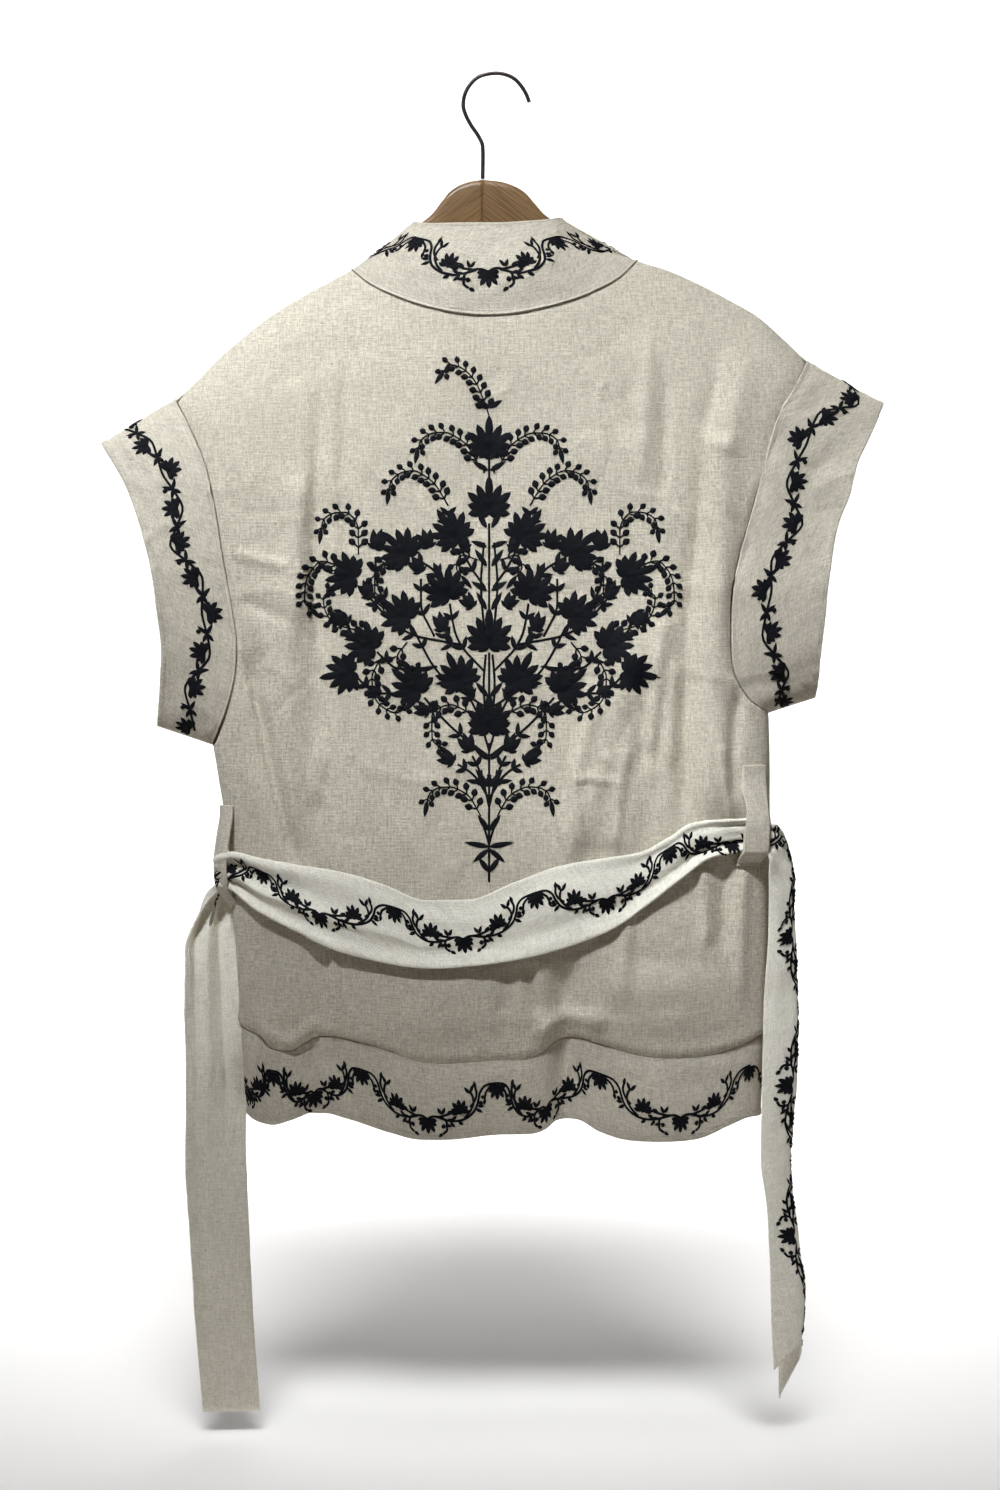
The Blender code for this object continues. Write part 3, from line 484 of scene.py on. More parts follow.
RELIEF_STEP = 0.001
RELIEF_X, RELIEF_Z = -0.25, -0.86
grid_x, grid_z = np.meshgrid(np.arange(RELIEF_X, 0.25, RELIEF_STEP),
                             np.arange(RELIEF_Z, -0.08, RELIEF_STEP), indexing="ij")
RELIEF = {face: fold_height(face, grid_x, grid_z) + crumple(grid_x, grid_z, 40 + 10 * face)
          for face in (BACK, FRONT)}
for face, field in RELIEF.items():
    print("relief from", round(field.min() * 1000, 1), "to", round(field.max() * 1000, 1), "mm")


def relief(face, x, z):
    field = RELIEF[face]
    u = np.clip((x - RELIEF_X) / RELIEF_STEP, 0, field.shape[0] - 1.001)
    v = np.clip((z - RELIEF_Z) / RELIEF_STEP, 0, field.shape[1] - 1.001)
    i, j = u.astype(int), v.astype(int)
    f, g = u - i, v - j
    return ((field[i, j] * (1 - f) + field[i + 1, j] * f) * (1 - g)
            + (field[i, j + 1] * (1 - f) + field[i + 1, j + 1] * f) * g)


# %% Depth and points of the skin
NORMAL_STEP = 0.0015


def skin_depth(face, x, z):
    """Distance of the outer skin from the plane of the shoulders."""
    x, z = np.asarray(x, float), np.asarray(z, float)
    width = np.where(x < 0, read(WIDTH_LEFT, z), read(WIDTH_RIGHT, z))
    shape = np.where(x < 0, SHAPE_LEFT, SHAPE_RIGHT)
    t = np.clip(np.abs(x) / width, 0, 1)
    section = (1 - t**shape) ** (1 / shape)
    below = np.clip((read(RIDGE, x) - z) / SHOULDER_DROP, 0, 1)
    drop = np.sqrt(1 - (1 - below) ** 2)
    share = 1.0 if face < 0 else FRONT_SHARE
    return (read(DEPTH, z) * share + relief(face, x, z)) * section * drop


def laid(face, plan):
    """A plan of x and z laid on the skin, a hair clear of the other face at the side seams."""
    points = on_skin(face, plan[..., 0], plan[..., 1])
    points[..., 1] += face * SEAM_HALF
    return points


def on_skin(face, x, z, lift=0.0):
    """Points of the skin, moved out along its normal by lift."""
    x, z = np.asarray(x, float), np.asarray(z, float)
    point = np.stack([x, face * skin_depth(face, x, z), z], -1)
    if not np.any(lift):
        return point
    e = NORMAL_STEP
    dx = (skin_depth(face, x + e, z) - skin_depth(face, x - e, z)) / (2 * e)
    dz = (skin_depth(face, x, z + e) - skin_depth(face, x, z - e)) / (2 * e)
    normal = np.stack([-dx, face * np.ones_like(dx), -dz], -1)
    normal /= np.linalg.norm(normal, axis=-1, keepdims=True)
    return point + normal * np.asarray(lift)[..., None]


middle_depth = float(skin_depth(BACK, 0.0, -0.45))
print("depth at the middle of the back:", round(middle_depth * 1000, 1), "mm")

# %% [markdown]
# ## Linen
# The real cloth is a plain weave of uneven yarn: pale oatmeal, with thicker slubs and darker
# flecks that run along the yarns both ways. At this distance single threads hardly show, but
# slubs and flecks do. The weave is one node group that every linen uses with its own colours.
# It reads the cloth's own UV map, which is in metres along and across each piece, so that the
# yarns follow the bands round the neck and the armholes, as they do when the pieces are cut.


# %% Node helpers and the linen group
def node(tree, kind, settings=None, **values):
    """A new node with these attributes, and these settings of its inputs."""
    made = tree.nodes.new(kind)
    for name, value in values.items():
        setattr(made, name, value)
    set_inputs(tree, made, settings or {})
    return made


def new_group(name, sockets):
    """A node group with its sockets, and its own input and output node."""
    group = bpy.data.node_groups.new(name, "ShaderNodeTree")
    for way, kind, label, value in sockets:
        made = group.interface.new_socket(name=label, in_out=way, socket_type="NodeSocket" + kind)
        if value is not None:
            made.default_value = value
    return group, node(group, "NodeGroupInput").outputs, node(group, "NodeGroupOutput")


def math_node(tree, operation, a, b):
    return node(tree, "ShaderNodeMath", {0: a, 1: b}, operation=operation).outputs[0]


def stretched_noise(tree, vector, scale, detail=2.0, rough=0.5):
    """Noise on a stretched copy of the coordinates, for slubs that run along a yarn."""
    stretched = node(tree, "ShaderNodeMapping", {"Scale": scale, "Vector": vector}).outputs[0]
    return node(tree, "ShaderNodeTexNoise", {"Scale": 1.0, "Detail": detail, "Roughness": rough,
                                             "Vector": stretched}).outputs["Fac"]


def ramp(tree, value, low, high):
    return node(tree, "ShaderNodeMapRange", {"From Min": low, "From Max": high,
                                             "Value": value}).outputs["Result"]


def mix_colour(tree, share, a, b):
    """Colour a where the share is 0, and b where it is 1."""
    made = node(tree, "ShaderNodeMix", {"Factor": share}, data_type="RGBA")
    places = {s.name: k for k, s in enumerate(made.inputs) if s.type == "RGBA"}
    set_inputs(tree, made, {places["A"]: a, places["B"]: b})
    return [s for s in made.outputs if s.type == "RGBA"][0]


def add_bump(tree, shader, height, strength, distance):
    bump = node(tree, "ShaderNodeBump",
                {"Strength": strength, "Distance": distance, "Height": height})
    tree.links.new(bump.outputs["Normal"], shader.inputs["Normal"])


def linen_group():
    """Weave of both yarns, thick slubs, cloudy patches and dark flecks, from the cloth's UV."""
    group, given, outside = new_group("slub_linen", (
        ("INPUT", "Color", "Yarn", (0.66, 0.61, 0.53, 1)),
        ("INPUT", "Color", "Shade", (0.48, 0.43, 0.36, 1)),
        ("INPUT", "Color", "Fleck", (0.22, 0.18, 0.13, 1)),
        ("INPUT", "Float", "Flecks", 0.5),
        ("OUTPUT", "Color", "Color", None), ("OUTPUT", "Float", "Height", None),
        ("OUTPUT", "Float", "Roughness", None),
    ))
    place = node(group, "ShaderNodeUVMap", uv_map="cloth").outputs["UV"]

    def add(a, b):
        return math_node(group, "ADD", a, b)

    def times(a, b):
        return math_node(group, "MULTIPLY", a, b)

    def field(across, along_it, detail=2.0, rough=0.5):
        return stretched_noise(group, place, (across, along_it, 1), detail, rough)

    grain = add(field(230, 1900), field(1900, 260))
    slub = add(field(70, 900, 3.0, 0.6), field(800, 60, 3.0, 0.6))
    cloud = field(14, 14, 4.0, 0.6)
    dark = ramp(group, add(times(grain, 0.55), times(slub, 0.45)), 0.88, 1.13)
    tone = mix_colour(group, dark, given["Yarn"], given["Shade"])
    patch = mix_colour(group, times(ramp(group, cloud, 0.42, 0.68), 0.22), tone, given["Shade"])
    flecks = times(ramp(group, field(260, 700, 1.0), 0.735, 0.78), given["Flecks"])
    yarns = {"Scale": 300.0, "Distortion": 1.5, "Detail": 1.0, "Vector": place}
    waves = [node(group, "ShaderNodeTexWave", yarns, bands_direction=way).outputs["Fac"]
             for way in ("X", "Y")]
    set_inputs(group, outside, {
        "Color": mix_colour(group, flecks, patch, given["Fleck"]),
        "Height": add(times(add(*waves), 0.25), times(add(grain, slub), 0.5)),
        "Roughness": add(times(grain, 0.06), 0.84),
    })
    return group


SLUB_LINEN = linen_group()


def linen(name, yarn, shade, flecks):
    made, tree, shader = new_material(name, {
        "Sheen Weight": 0.12, "Sheen Roughness": 0.6, "Specular IOR Level": 0.25})
    weave = node(tree, "ShaderNodeGroup", {"Yarn": (*yarn, 1), "Shade": (*shade, 1),
                                           "Flecks": flecks}, node_tree=SLUB_LINEN).outputs
    add_bump(tree, shader, weave["Height"], 0.85, 0.0006)
    set_inputs(tree, shader, {"Base Color": weave["Color"], "Roughness": weave["Roughness"]})
    return made


BODY_LINEN = linen("oatmeal_linen", (0.70, 0.63, 0.51), (0.42, 0.365, 0.285), 0.90)
BAND_LINEN = linen("band_linen", (0.71, 0.64, 0.525), (0.44, 0.385, 0.305), 0.85)
# The sash is the same oatmeal linen as the body; its paler colours are painted light, standing in
# for sunlight falling on the sash.
SASH_LINEN_PAINTED_SUNLIT = linen("sash_linen", (0.98, 0.93, 0.81), (0.75, 0.69, 0.575), 0.65)
print("linens:", BODY_LINEN.name, BAND_LINEN.name, SASH_LINEN_PAINTED_SUNLIT.name)

# %% [markdown]
# ## Making a cloth piece
# A cloth piece starts as a flat grid from create_grid. Its points are moved to the form, rows
# and columns in the order of the yarns, and it gets a UV map in metres. Bands and sash take
# their dents from the same seeded noise as the skin. A seam pulls the cloth in, so the points
# near a sewn edge dip inwards a little, while a turned hem or a folded edge swells. Solidify
# then gives the piece the thickness of the cloth.

# %% Grid helpers
CLOTH_WALL = 0.0010
BAND_CLOTH_WALL = 0.0018
CLOTHS = {}


def add_piece(name, data, material, nodes=()):
    """An object of this mesh or curve, riding on the root body. It replaces the
    named solids, if it is the same part."""
    obj = bpy.data.objects.new(name, data)
    scene.collection.objects.link(obj)
    data.materials.append(material)
    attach(obj, "root")
    if nodes:
        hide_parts(*nodes)
    return obj


def grid_normals(points, out):
    """Outward unit normals of a grid of points; out is the outer side at its middle."""
    du = np.gradient(points, axis=0)
    dv = np.gradient(points, axis=1)
    normal = np.cross(du, dv)
    normal /= np.linalg.norm(normal, axis=-1, keepdims=True) + 1e-12
    middle = normal[normal.shape[0] // 2, normal.shape[1] // 2]
    return normal if np.dot(middle, out) > 0 else -normal


def lengths(points, axis):
    """Distance run along the grid from its first row or column."""
    step = np.linalg.norm(np.diff(points, axis=axis), axis=-1)
    start = np.zeros_like(np.take(step, [0], axis=axis))
    return np.concatenate([start, np.cumsum(step, axis=axis)], axis=axis)


def edge_roll(points, out, only=1.0, **sides):
    """Lifts or sinks the cloth along its sides, one after another: each wave of a side is a
    height and how far in it reaches. only is the share of each point that takes part."""
    for side, waves in sides.items():
        rows, cols = lengths(points, 0), lengths(points, 1)
        away = {"first_row": rows, "last_row": rows[-1:] - rows,
                "first_col": cols, "last_col": cols[:, -1:] - cols}[side]
        total = sum(height * np.exp(-((away / reach) ** 2)) for height, reach in waves) * only
        points = points + grid_normals(points, out) * total[..., None]
    return points


def cloth(name, points, wall, out, material, nodes, ring=False, hung_straight=False):
    """A cloth piece on a grid of points, with a UV map in metres and a real thickness. The
    threads of a piece hung straight run level and plumb; others follow their strip."""
    rows, cols = points.shape[:2]
    bm = bmesh.new()
    bmesh.ops.create_grid(bm, x_segments=cols - 1, y_segments=rows - 1, size=1)
    where = np.array([v.co[:] for v in bm.verts])
    i = np.rint((where[:, 1] + 1) / 2 * (rows - 1)).astype(int)
    j = np.rint((where[:, 0] + 1) / 2 * (cols - 1)).astype(int)
    if hung_straight:
        uv = points[i, j][:, [0, 2]] + 1.0
    else:
        uv = np.stack([lengths(points, 1)[i, j], lengths(points, 0)[i, j]], -1)
    layer = bm.loops.layers.uv.new("cloth")
    for face in bm.faces:
        face.smooth = True
        for loop in face.loops:
            loop[layer].uv = uv[loop.vert.index]
    for v in bm.verts:
        v.co = points[i[v.index], j[v.index]]
    if ring:
        bmesh.ops.remove_doubles(bm, verts=bm.verts, dist=0.00002)
    bm.normal_update()
    bm.faces.ensure_lookup_table()
    middle = bm.faces[len(bm.faces) // 2]
    normals = grid_normals(points, out)
    near = np.linalg.norm(points - np.array(middle.calc_center_median()), axis=-1)
    nearest = np.unravel_index(near.argmin(), near.shape)
    if middle.normal.dot(Vector(normals[nearest])) < 0:
        bmesh.ops.reverse_faces(bm, faces=bm.faces)
    area = sum(face.calc_area() for face in bm.faces)
    mesh = bpy.data.meshes.new(name)
    bm.to_mesh(mesh)
    bm.free()
    obj = add_piece(name, mesh, material, nodes)
    thick = obj.modifiers.new("thickness", "SOLIDIFY")
    thick.thickness = wall
    thick.offset = -1
    CLOTHS[name] = {"points": points, "object": obj, "area": area}
    print(name, len(mesh.vertices), "points,", round(area, 4), "m2")


# %% Rows and columns, finer where the cloth bends over the ridge and at the seams
def fine_ends(count, first=(0.0006, 0.0016, 0.003, 0.005, 0.008), last=(0.004, 0.0015)):
    middle = np.linspace(0, 1, count)[1:-1]
    middle = middle[(middle > first[-1] * 1.3) & (middle < 1 - last[0] * 1.3)]
    return np.concatenate([[0], first, middle, 1 - np.array(last), [1]])


ROWS = fine_ends(215)
ROWS[np.argmin(np.abs(ROWS - UNDERARM_V))] = UNDERARM_V
HIGH = ROWS[ROWS <= UNDERARM_V] / UNDERARM_V
HIGH = np.where(HIGH > 0.8, 1 - (1 - HIGH) * (1 - 0.35 * (HIGH - 0.8) / 0.2), HIGH)
LOW = (ROWS[ROWS >= UNDERARM_V] - UNDERARM_V) / (1 - UNDERARM_V)


def coons(top, low, left, right, across, down):
    """Fills the inside of four border lines."""
    s, v = across[None, :, None], down[:, None, None]
    border = (1 - v) * top[None] + v * low[None] + (1 - s) * left[:, None] + s * right[:, None]
    corner = (1 - s) * (1 - v) * top[0] + s * (1 - v) * top[-1]
    return border - corner - (1 - s) * v * low[0] - s * v * low[-1]


def side_line(armhole, table, sign, end):
    """Armhole seam, then side seam down to end."""
    z = np.linspace(armhole[-1][1], end, 12)
    side = [(sign * float(read(table, value)), float(value)) for value in z]
    return np.vstack([along(armhole, HIGH), along(side, LOW)[1:]])


def ridge_line(x0, x1, shares):
    x = np.linspace(x0, x1, 24)
    return along(list(zip(x, read(RIDGE, x))), shares)


# %% [markdown]
# ## The back
# The back is one panel: two shoulder lines and the neck seam above, armhole and side seams at
# its sides, the border's seam below. It is the largest piece and carries the folds.

# %% Back panel
neck_shares = fine_ends(90, last=(0.008, 0.005, 0.003, 0.0016, 0.0006))
shoulder_shares = fine_ends(44, first=(0.004, 0.012), last=(0.012, 0.004))
neck = along(NECK_SEAM, neck_shares)
back_top = np.vstack([
    ridge_line(-0.2400, -0.1080, shoulder_shares),
    neck[1:-1],
    ridge_line(0.1058, 0.2333, shoulder_shares),
])
run = np.concatenate([[0], np.cumsum(np.linalg.norm(np.diff(back_top, axis=0), axis=1))])
back_across = 0.65 * run / run[-1] + 0.35 * (0.5 - 0.5 * np.cos(np.pi * run / run[-1]))
back_low = along(HEM_SEAM_BACK, back_across)
back_left = side_line(ARMHOLE_LEFT, WIDTH_LEFT, -1, HEM_SEAM_BACK[0][1])
back_right = side_line(ARMHOLE_RIGHT, WIDTH_RIGHT, 1, HEM_SEAM_BACK[-1][1])
plan = coons(back_top, back_low, back_left, back_right, back_across, ROWS)
OUT_BACK, OUT_FRONT = (0, -1, 0), (0, 1, 0)
BLOUSE = ((0.0024, 0.011), (-0.0040, 0.0034))
SEAM_DIP = ((-0.0009, 0.0035),)
ARMHOLE_DIP = ((-0.0012, 0.0030), (-0.0014, 0.0100))
columns = np.arange(plan.shape[1])
at_neck = ((columns > len(shoulder_shares)) & (columns < len(shoulder_shares) + len(neck) - 4))
above = (np.arange(len(plan)) < len(HIGH))[:, None] * 1.0
back = edge_roll(laid(BACK, plan), OUT_BACK, last_row=BLOUSE)
back = edge_roll(back, OUT_BACK, at_neck[None] * 1.0, first_row=SEAM_DIP)
back = edge_roll(back, OUT_BACK, above, first_col=ARMHOLE_DIP, last_col=ARMHOLE_DIP)
cloth("back_cloth", back, CLOTH_WALL, OUT_BACK, BODY_LINEN, ["back_panel"],
      hung_straight=True)

# %% [markdown]
# ## The fronts and the hem borders
# Each front is cut like half a back with a deep V. The hem border is a separate strip sewn on
# below, in three lengths that meet at the side seams. The blouse of the body falls a little
# over the border's seam, so the border starts slightly sunk.

# %% Front panels and hem borders
HEM_TOP = ((-0.0010, 0.0050),)
HEM_LAP = 0.0002  # the border starts this far up behind the body's edge: no light gets through
TURNED = ((0.0006, 0.0030), (-0.0008, 0.0008))
FRONT_HEM_CORNER, FRONT_EDGE_CORNER = -0.7165, -0.7775


def hem_border(name, face, count, seam, edge):
    """The strip between the seam and the edge of the hem, in this many rows or so."""
    v = fine_ends(count, first=(0.01, 0.03), last=(0.03, 0.01))[:, None, None]
    plan = (1 - v) * (seam + (0, HEM_LAP)) + v * edge
    out = (0, face, 0)
    cloth("hem_border_" + name,
          edge_roll(laid(face, plan), out, first_row=HEM_TOP, last_row=TURNED),
          BAND_CLOTH_WALL, out, BAND_LINEN, ["hem_band_" + name])


def across_front(sign, table, corner, line):
    """A line of a front from the side seam, which it leaves at this height, to its inner edge."""
    start = [(sign * float(read(table, corner)), corner)]
    return along(start + [(sign * x, z) for x, z in line[::-1]], front_cols)


front_cols = fine_ends(84, first=(0.004, 0.012, 0.024), last=(0.008, 0.003))
fronts = {}
for name, sign, armhole, table, seam in (
    ("left", -1, ARMHOLE_LEFT, WIDTH_LEFT, SEAM_LEFT),
    ("right", 1, ARMHOLE_RIGHT, WIDTH_RIGHT, SEAM_RIGHT),
):
    inner = along(np.array(seam) * (sign, 1.0), ROWS)
    outer = side_line(armhole, table, sign, FRONT_HEM_CORNER)
    top = ridge_line(armhole[0][0], sign * seam[0][0], front_cols)
    low = across_front(sign, table, FRONT_HEM_CORNER, HEM_SEAM_FRONT)
    panel = laid(FRONT, coons(top, low, outer, inner, front_cols, ROWS))
    panel = edge_roll(panel, OUT_FRONT, last_row=BLOUSE, last_col=SEAM_DIP)
    cloth("front_cloth_" + name, panel, CLOTH_WALL, OUT_FRONT, BODY_LINEN,
          ["front_panel_" + name], hung_straight=True)
    edge = across_front(sign, table, FRONT_EDGE_CORNER, HEM_EDGE_FRONT)
    hem_border("front_" + name, FRONT, 30, low, edge)
    fronts[name] = inner

hem_border("back", BACK, 32, back_low, along(HEM_EDGE_BACK, back_across))

# %% [markdown]
# ## The neckband
# One straight band, folded double, goes up one front, round the back of the neck and down the
# other front. Its seam edge stands a little proud of the body, because four layers of linen lie
# turned inside it, and that is the raised line that shows round the neck in the photograph.

# %% Neckband
band_cols = fine_ends(26, first=(0.008, 0.02, 0.035), last=(0.035, 0.012))


def neckband_front(side, sign, free):
    seam_line = fronts[side]
    free_line = along(np.array(free) * (sign, 1.0), ROWS)
    tail = np.linspace(0, 1, 24)[1:, None]
    seam_end = (1 - tail) * seam_line[-1] + tail * np.array([sign * SEAM_TO_CENTRE, BAND_END])
    free_end = (1 - tail) * free_line[-1] + tail * np.array([sign * CENTRE_GAP, BAND_END])
    seam_line = np.vstack([seam_line, seam_end])
    free_line = np.vstack([free_line, free_end])
    c = band_cols[None, :, None]
    plan = (1 - c) * seam_line[:, None] + c * free_line[:, None]
    return laid(FRONT, plan)


c = band_cols[None, :, None]
neck_part = laid(BACK, (1 - c) * neck[:, None] + c * along(NECK_FREE, neck_shares)[:, None])
left_part = neckband_front("left", -1, FREE_LEFT)
right_part = neckband_front("right", 1, FREE_RIGHT)
neck_rows = slice(len(left_part), len(left_part) + len(neck_part))
neckband = np.vstack([left_part[::-1], neck_part, right_part])
PIPED = ((0.0017, 0.0019), (-0.0006, 0.0050))
NECKBAND_DENTS = 1.9
FULL = 0.0040  # behind the neck the band stands this far out, and turns in again to its seam
standing = np.zeros(len(neckband))
standing[neck_rows] = np.sin(np.pi * neck_shares) ** 0.8
standing = standing[:, None] * (1 - np.exp(-((lengths(neckband, 1) / 0.0170) ** 2)))
neckband[..., 1] -= FULL * standing
neckband = edge_roll(neckband, OUT_BACK, first_col=PIPED, last_col=TURNED)
along_band, across_band = lengths(neckband, 0), lengths(neckband, 1)
dents = NECKBAND_DENTS * crumple(along_band * 0.8, across_band, 71)
fade = np.sin(np.pi * across_band / across_band[:, -1:])
for row in (neck_rows.start, neck_rows.stop - 1):  # smooth where the band bends over the ridge
    fade = fade * (1 - np.exp(-(((along_band - along_band[row]) / 0.010) ** 2)))
neckband = neckband + grid_normals(neckband, OUT_BACK) * (dents * fade)[..., None]
cloth("neckband_cloth", neckband, BAND_CLOTH_WALL, OUT_BACK, BAND_LINEN,
      ["neckband"])

# %% [markdown]
# ## The sleeve bands
# A cap sleeve here is only a band: a short open tube from the armhole seam to the cuff.

# %% Sleeve bands
sleeve_cols = fine_ends(26, first=(0.01, 0.03), last=(0.03, 0.01))
SLEEVE_SEAM = ((0.0010, 0.0018), (-0.0010, 0.0050))
SLEEVE_DENTS = 1.3
OUT_SLEEVE = (0, 0, 1)  # the middle row of a sleeve band is at the top of the shoulder
for name, sign, armhole, cuff in (
    ("left", -1, ARMHOLE_LEFT, CUFF_LEFT),
    ("right", 1, ARMHOLE_RIGHT, CUFF_RIGHT),
):
    inner_plan, outer_plan = along(armhole, HIGH), along(cuff, HIGH)
    depth = CUFF_DEPTH * np.sin(np.pi * HIGH) ** 0.62
    loops = []
    for face in (BACK, FRONT):  # the seam end and the cuff end of the tube, half by half
        y_in = skin_depth(face, inner_plan[:, 0], inner_plan[:, 1]) + SEAM_HALF
        y_in[0] = y_in[-1] = 0.0
        loops.append((np.stack([inner_plan[:, 0], face * y_in, inner_plan[:, 1]], 1),
                      np.stack([outer_plan[:, 0], face * depth, outer_plan[:, 1]], 1)))
    inner = np.vstack([loops[0][0][::-1], loops[1][0][1:]])
    outer = np.vstack([loops[0][1][::-1], loops[1][1][1:]])
    c = sleeve_cols[None, :, None]
    tube = (1 - c) * inner[:, None] + c * outer[:, None]
    closing = np.sin(np.pi * np.linspace(0, 1, len(tube)))[:, None] ** 0.3
    dents = crumple(lengths(tube, 1), lengths(tube, 0), 80 + sign) * closing
    tube = tube + grid_normals(tube, OUT_SLEEVE) * (SLEEVE_DENTS * dents)[..., None]
    tube = edge_roll(tube, OUT_SLEEVE, closing, first_col=SLEEVE_SEAM, last_col=TURNED)
    tube[-1] = tube[0]
    cloth("sleeve_cloth_" + name, tube, BAND_CLOTH_WALL, OUT_SLEEVE, BAND_LINEN,
          ["sleeve_band_" + name], ring=True)

# %% [markdown]
# ## The sash and its loops
# The sash is one long strip, folded double and pressed. It swags across the back, is squeezed
# together in each loop, and hangs down at the sides: flat on the left, folded lengthwise on the
# right. Its sections are three points each, read as a shallow arc, and pleats run lengthwise
# where the loops gather it.

# %% Sash tables, in tenths of a millimetre
BELT_BACK = tenths(
    (-1900, -5810, -1930, -6085), (-1700, -5860, -1700, -6260), (-1450, -5915, -1400, -6410),
    (-1120, -5950, -1080, -6540), (-808, -6046, -760, -6625), (-500, -6155, -450, -6665),
    (-196, -6151, -120, -6640), (120, -6035, 230, -6565), (450, -5910, 560, -6475),
    (780, -5850, 880, -6360), (1058, -5801, 1120, -6200), (1254, -5706, 1330, -6020),
    (1444, -5610, 1530, -5870), (1641, -5560, 1700, -5815), (1800, -5560, 1810, -5800),
    (1930, -5580, 1920, -5810),
)
TAIL_LEFT = tenths(
    (-2070, -140, -5860, -2070, -145, -5965, -2060, -150, -6070),
    (-2070, 130, -5880, -2070, 125, -5985, -2060, 120, -6090),
    (-2020, 240, -6010, -2110, 210, -6110, -2180, 150, -6215),
    (-1975, 270, -6220, -2140, 250, -6330, -2290, 130, -6400),
    (-1945, 240, -6480, -2150, 200, -6520, -2340, 80, -6560),
    (-1915, 140, -6934, -2130, 120, -6934, -2340, 20, -6934),
    (-1880, 100, -7533, -2100, 10, -7533, -2325, -20, -7533),
    (-1875, 40, -8134, -2100, 60, -8134, -2333, 10, -8134),
    (-1852, 60, -8734, -2080, -10, -8734, -2295, 20, -8734),
    (-1822, 50, -9334, -2045, 40, -9334, -2258, 0, -9334),
    (-1770, 40, -10020, -1985, 10, -10020, -2198, 0, -10020),
)
TAIL_RIGHT = tenths(
    (2075, -280, -5640, 2080, -300, -5745, 2005, -360, -5850),
    (2135, -160, -5780, 2150, -230, -5850, 2012, -340, -6010),
    (2120, -80, -5960, 2200, -190, -6020, 2012, -320, -6180),
    (2105, -60, -6250, 2215, -180, -6290, 2010, -300, -6400),
    (2100, -60, -6779, 2240, -180, -6790, 1986, -300, -6790),
    (2095, -60, -7422, 2240, -180, -7420, 1966, -300, -7420),
    (2090, -60, -8090, 2188, -180, -8090, 1958, -290, -8090),
    (2094, -60, -8420, 2215, -180, -8410, 2000, -290, -8400),
    (2105, -60, -8900, 2262, -180, -8800, 2024, -290, -8800),
    (2112, -60, -9450, 2305, -180, -9150, 2040, -290, -9300),
    (2117, -60, -9900, 2285, -180, -9500, 2057, -290, -9650),
)
BELT_LIFT = 0.0049
LOOP_LEFT = tenths(
    (-5470, 3), (-5530, 12), (-5700, 62), (-5850, 95), (-5980, 105), (-6100, 95), (-6180, 50),
    (-6230, 10), (-6270, 3),
)
LOOP_RIGHT = tenths(
    (-5170, 4), (-5230, 8), (-5350, 28), (-5460, 50), (-5580, 80), (-5720, 90), (-5815, 88),
    (-5860, 44), (-5890, 8), (-5915, 4),
)
LOOP_RIGHT_X = tenths((-5905, 1765), (-5170, 1815))
LOOP_WIDTH = 0.020

# %% Sash
sections = [np.array(row).reshape(3, 3) for row in TAIL_LEFT[::-1]]
TAIL_ROWS = len(sections)
for x0, z0, x1, z1 in BELT_BACK:
    xs = np.array([x0, (x0 + x1) / 2, x1])
    zs = np.array([z0, (z0 + z1) / 2, z1])
    sections.append(on_skin(BACK, xs, zs, np.full(3, BELT_LIFT)))
sections += [np.array(row).reshape(3, 3) for row in TAIL_RIGHT]
SASH_STEPS = 16
dense = curve_points(np.array(sections).reshape(-1, 9), SASH_STEPS).reshape(-1, 3, 3)
c = fine_ends(46, first=(0.008, 0.022), last=(0.022, 0.008))
weights = np.stack([2 * (c - 0.5) * (c - 1), 4 * c * (1 - c), 2 * c * (c - 0.5)], 1)
sash = np.einsum("kc,ncd->nkd", weights, dense)

# %% [markdown]
# ### Pleats of the sash
# Where a loop gathers the strip, it creases lengthwise. On the left it makes three laps: a
# flap along the top, a hollow that holds the garland, and a lap below it. On the right the
# upper half lies over the lower one. Each pleat is a ridge or a step across the strip, strongest
# at its loop and gone a hand's breadth away. The hanging ends keep a pressed crease.


# %% Pleats
# row where it is strongest, rows to fade to each side, then across: middle, half width, height
PLEATS = (
    (11.2, 1.6, 2.6, 0.10, 0.13, 0.0046),
    (11.4, 1.8, 3.0, 0.36, 0.13, -0.0022),
    (11.6, 2.0, 3.4, 0.62, 0.09, 0.0036),
    (11.4, 2.0, 3.0, 0.80, 0.08, -0.0020),
    (12.0, 1.6, 3.6, 0.95, 0.07, 0.0024),
    (25.5, 5.0, 2.0, 0.06, 0.08, 0.0034),
    (25.0, 4.5, 2.0, 0.34, 0.16, 0.0016),
    (24.5, 5.0, 3.0, 0.74, 0.10, -0.0026),
    (23.5, 5.0, 3.0, 0.96, 0.07, 0.0016),
    (16.0, 2.2, 2.6, 0.30, 0.16, 0.0014),
    (17.5, 2.6, 3.0, 0.72, 0.14, -0.0014),
    (19.5, 2.0, 2.4, 0.50, 0.20, 0.0012),
    (9.0, 1.6, 1.6, 0.30, 0.08, 0.0026),
    (8.2, 2.6, 1.6, 0.56, 0.09, -0.0042),
    (8.0, 2.6, 1.6, 0.80, 0.08, 0.0036),
    (6.0, 2.6, 2.4, 0.36, 0.09, 0.0030),
    (4.6, 2.6, 2.6, 0.64, 0.08, -0.0022),
    (3.0, 2.0, 2.6, 0.84, 0.08, 0.0018),
    (30.0, 2.6, 6.0, 0.90, 0.10, 0.0014),
)
SASH_LEAN = 0.0030  # over the back the foot of the sash leans out this far
SASH_DENTS = 0.8
SASH_EDGE = ((0.0005, 0.0022), (-0.0006, 0.0008))
place = (np.arange(len(dense)) / SASH_STEPS)[:, None]
pleats = np.zeros((len(dense), len(c)))
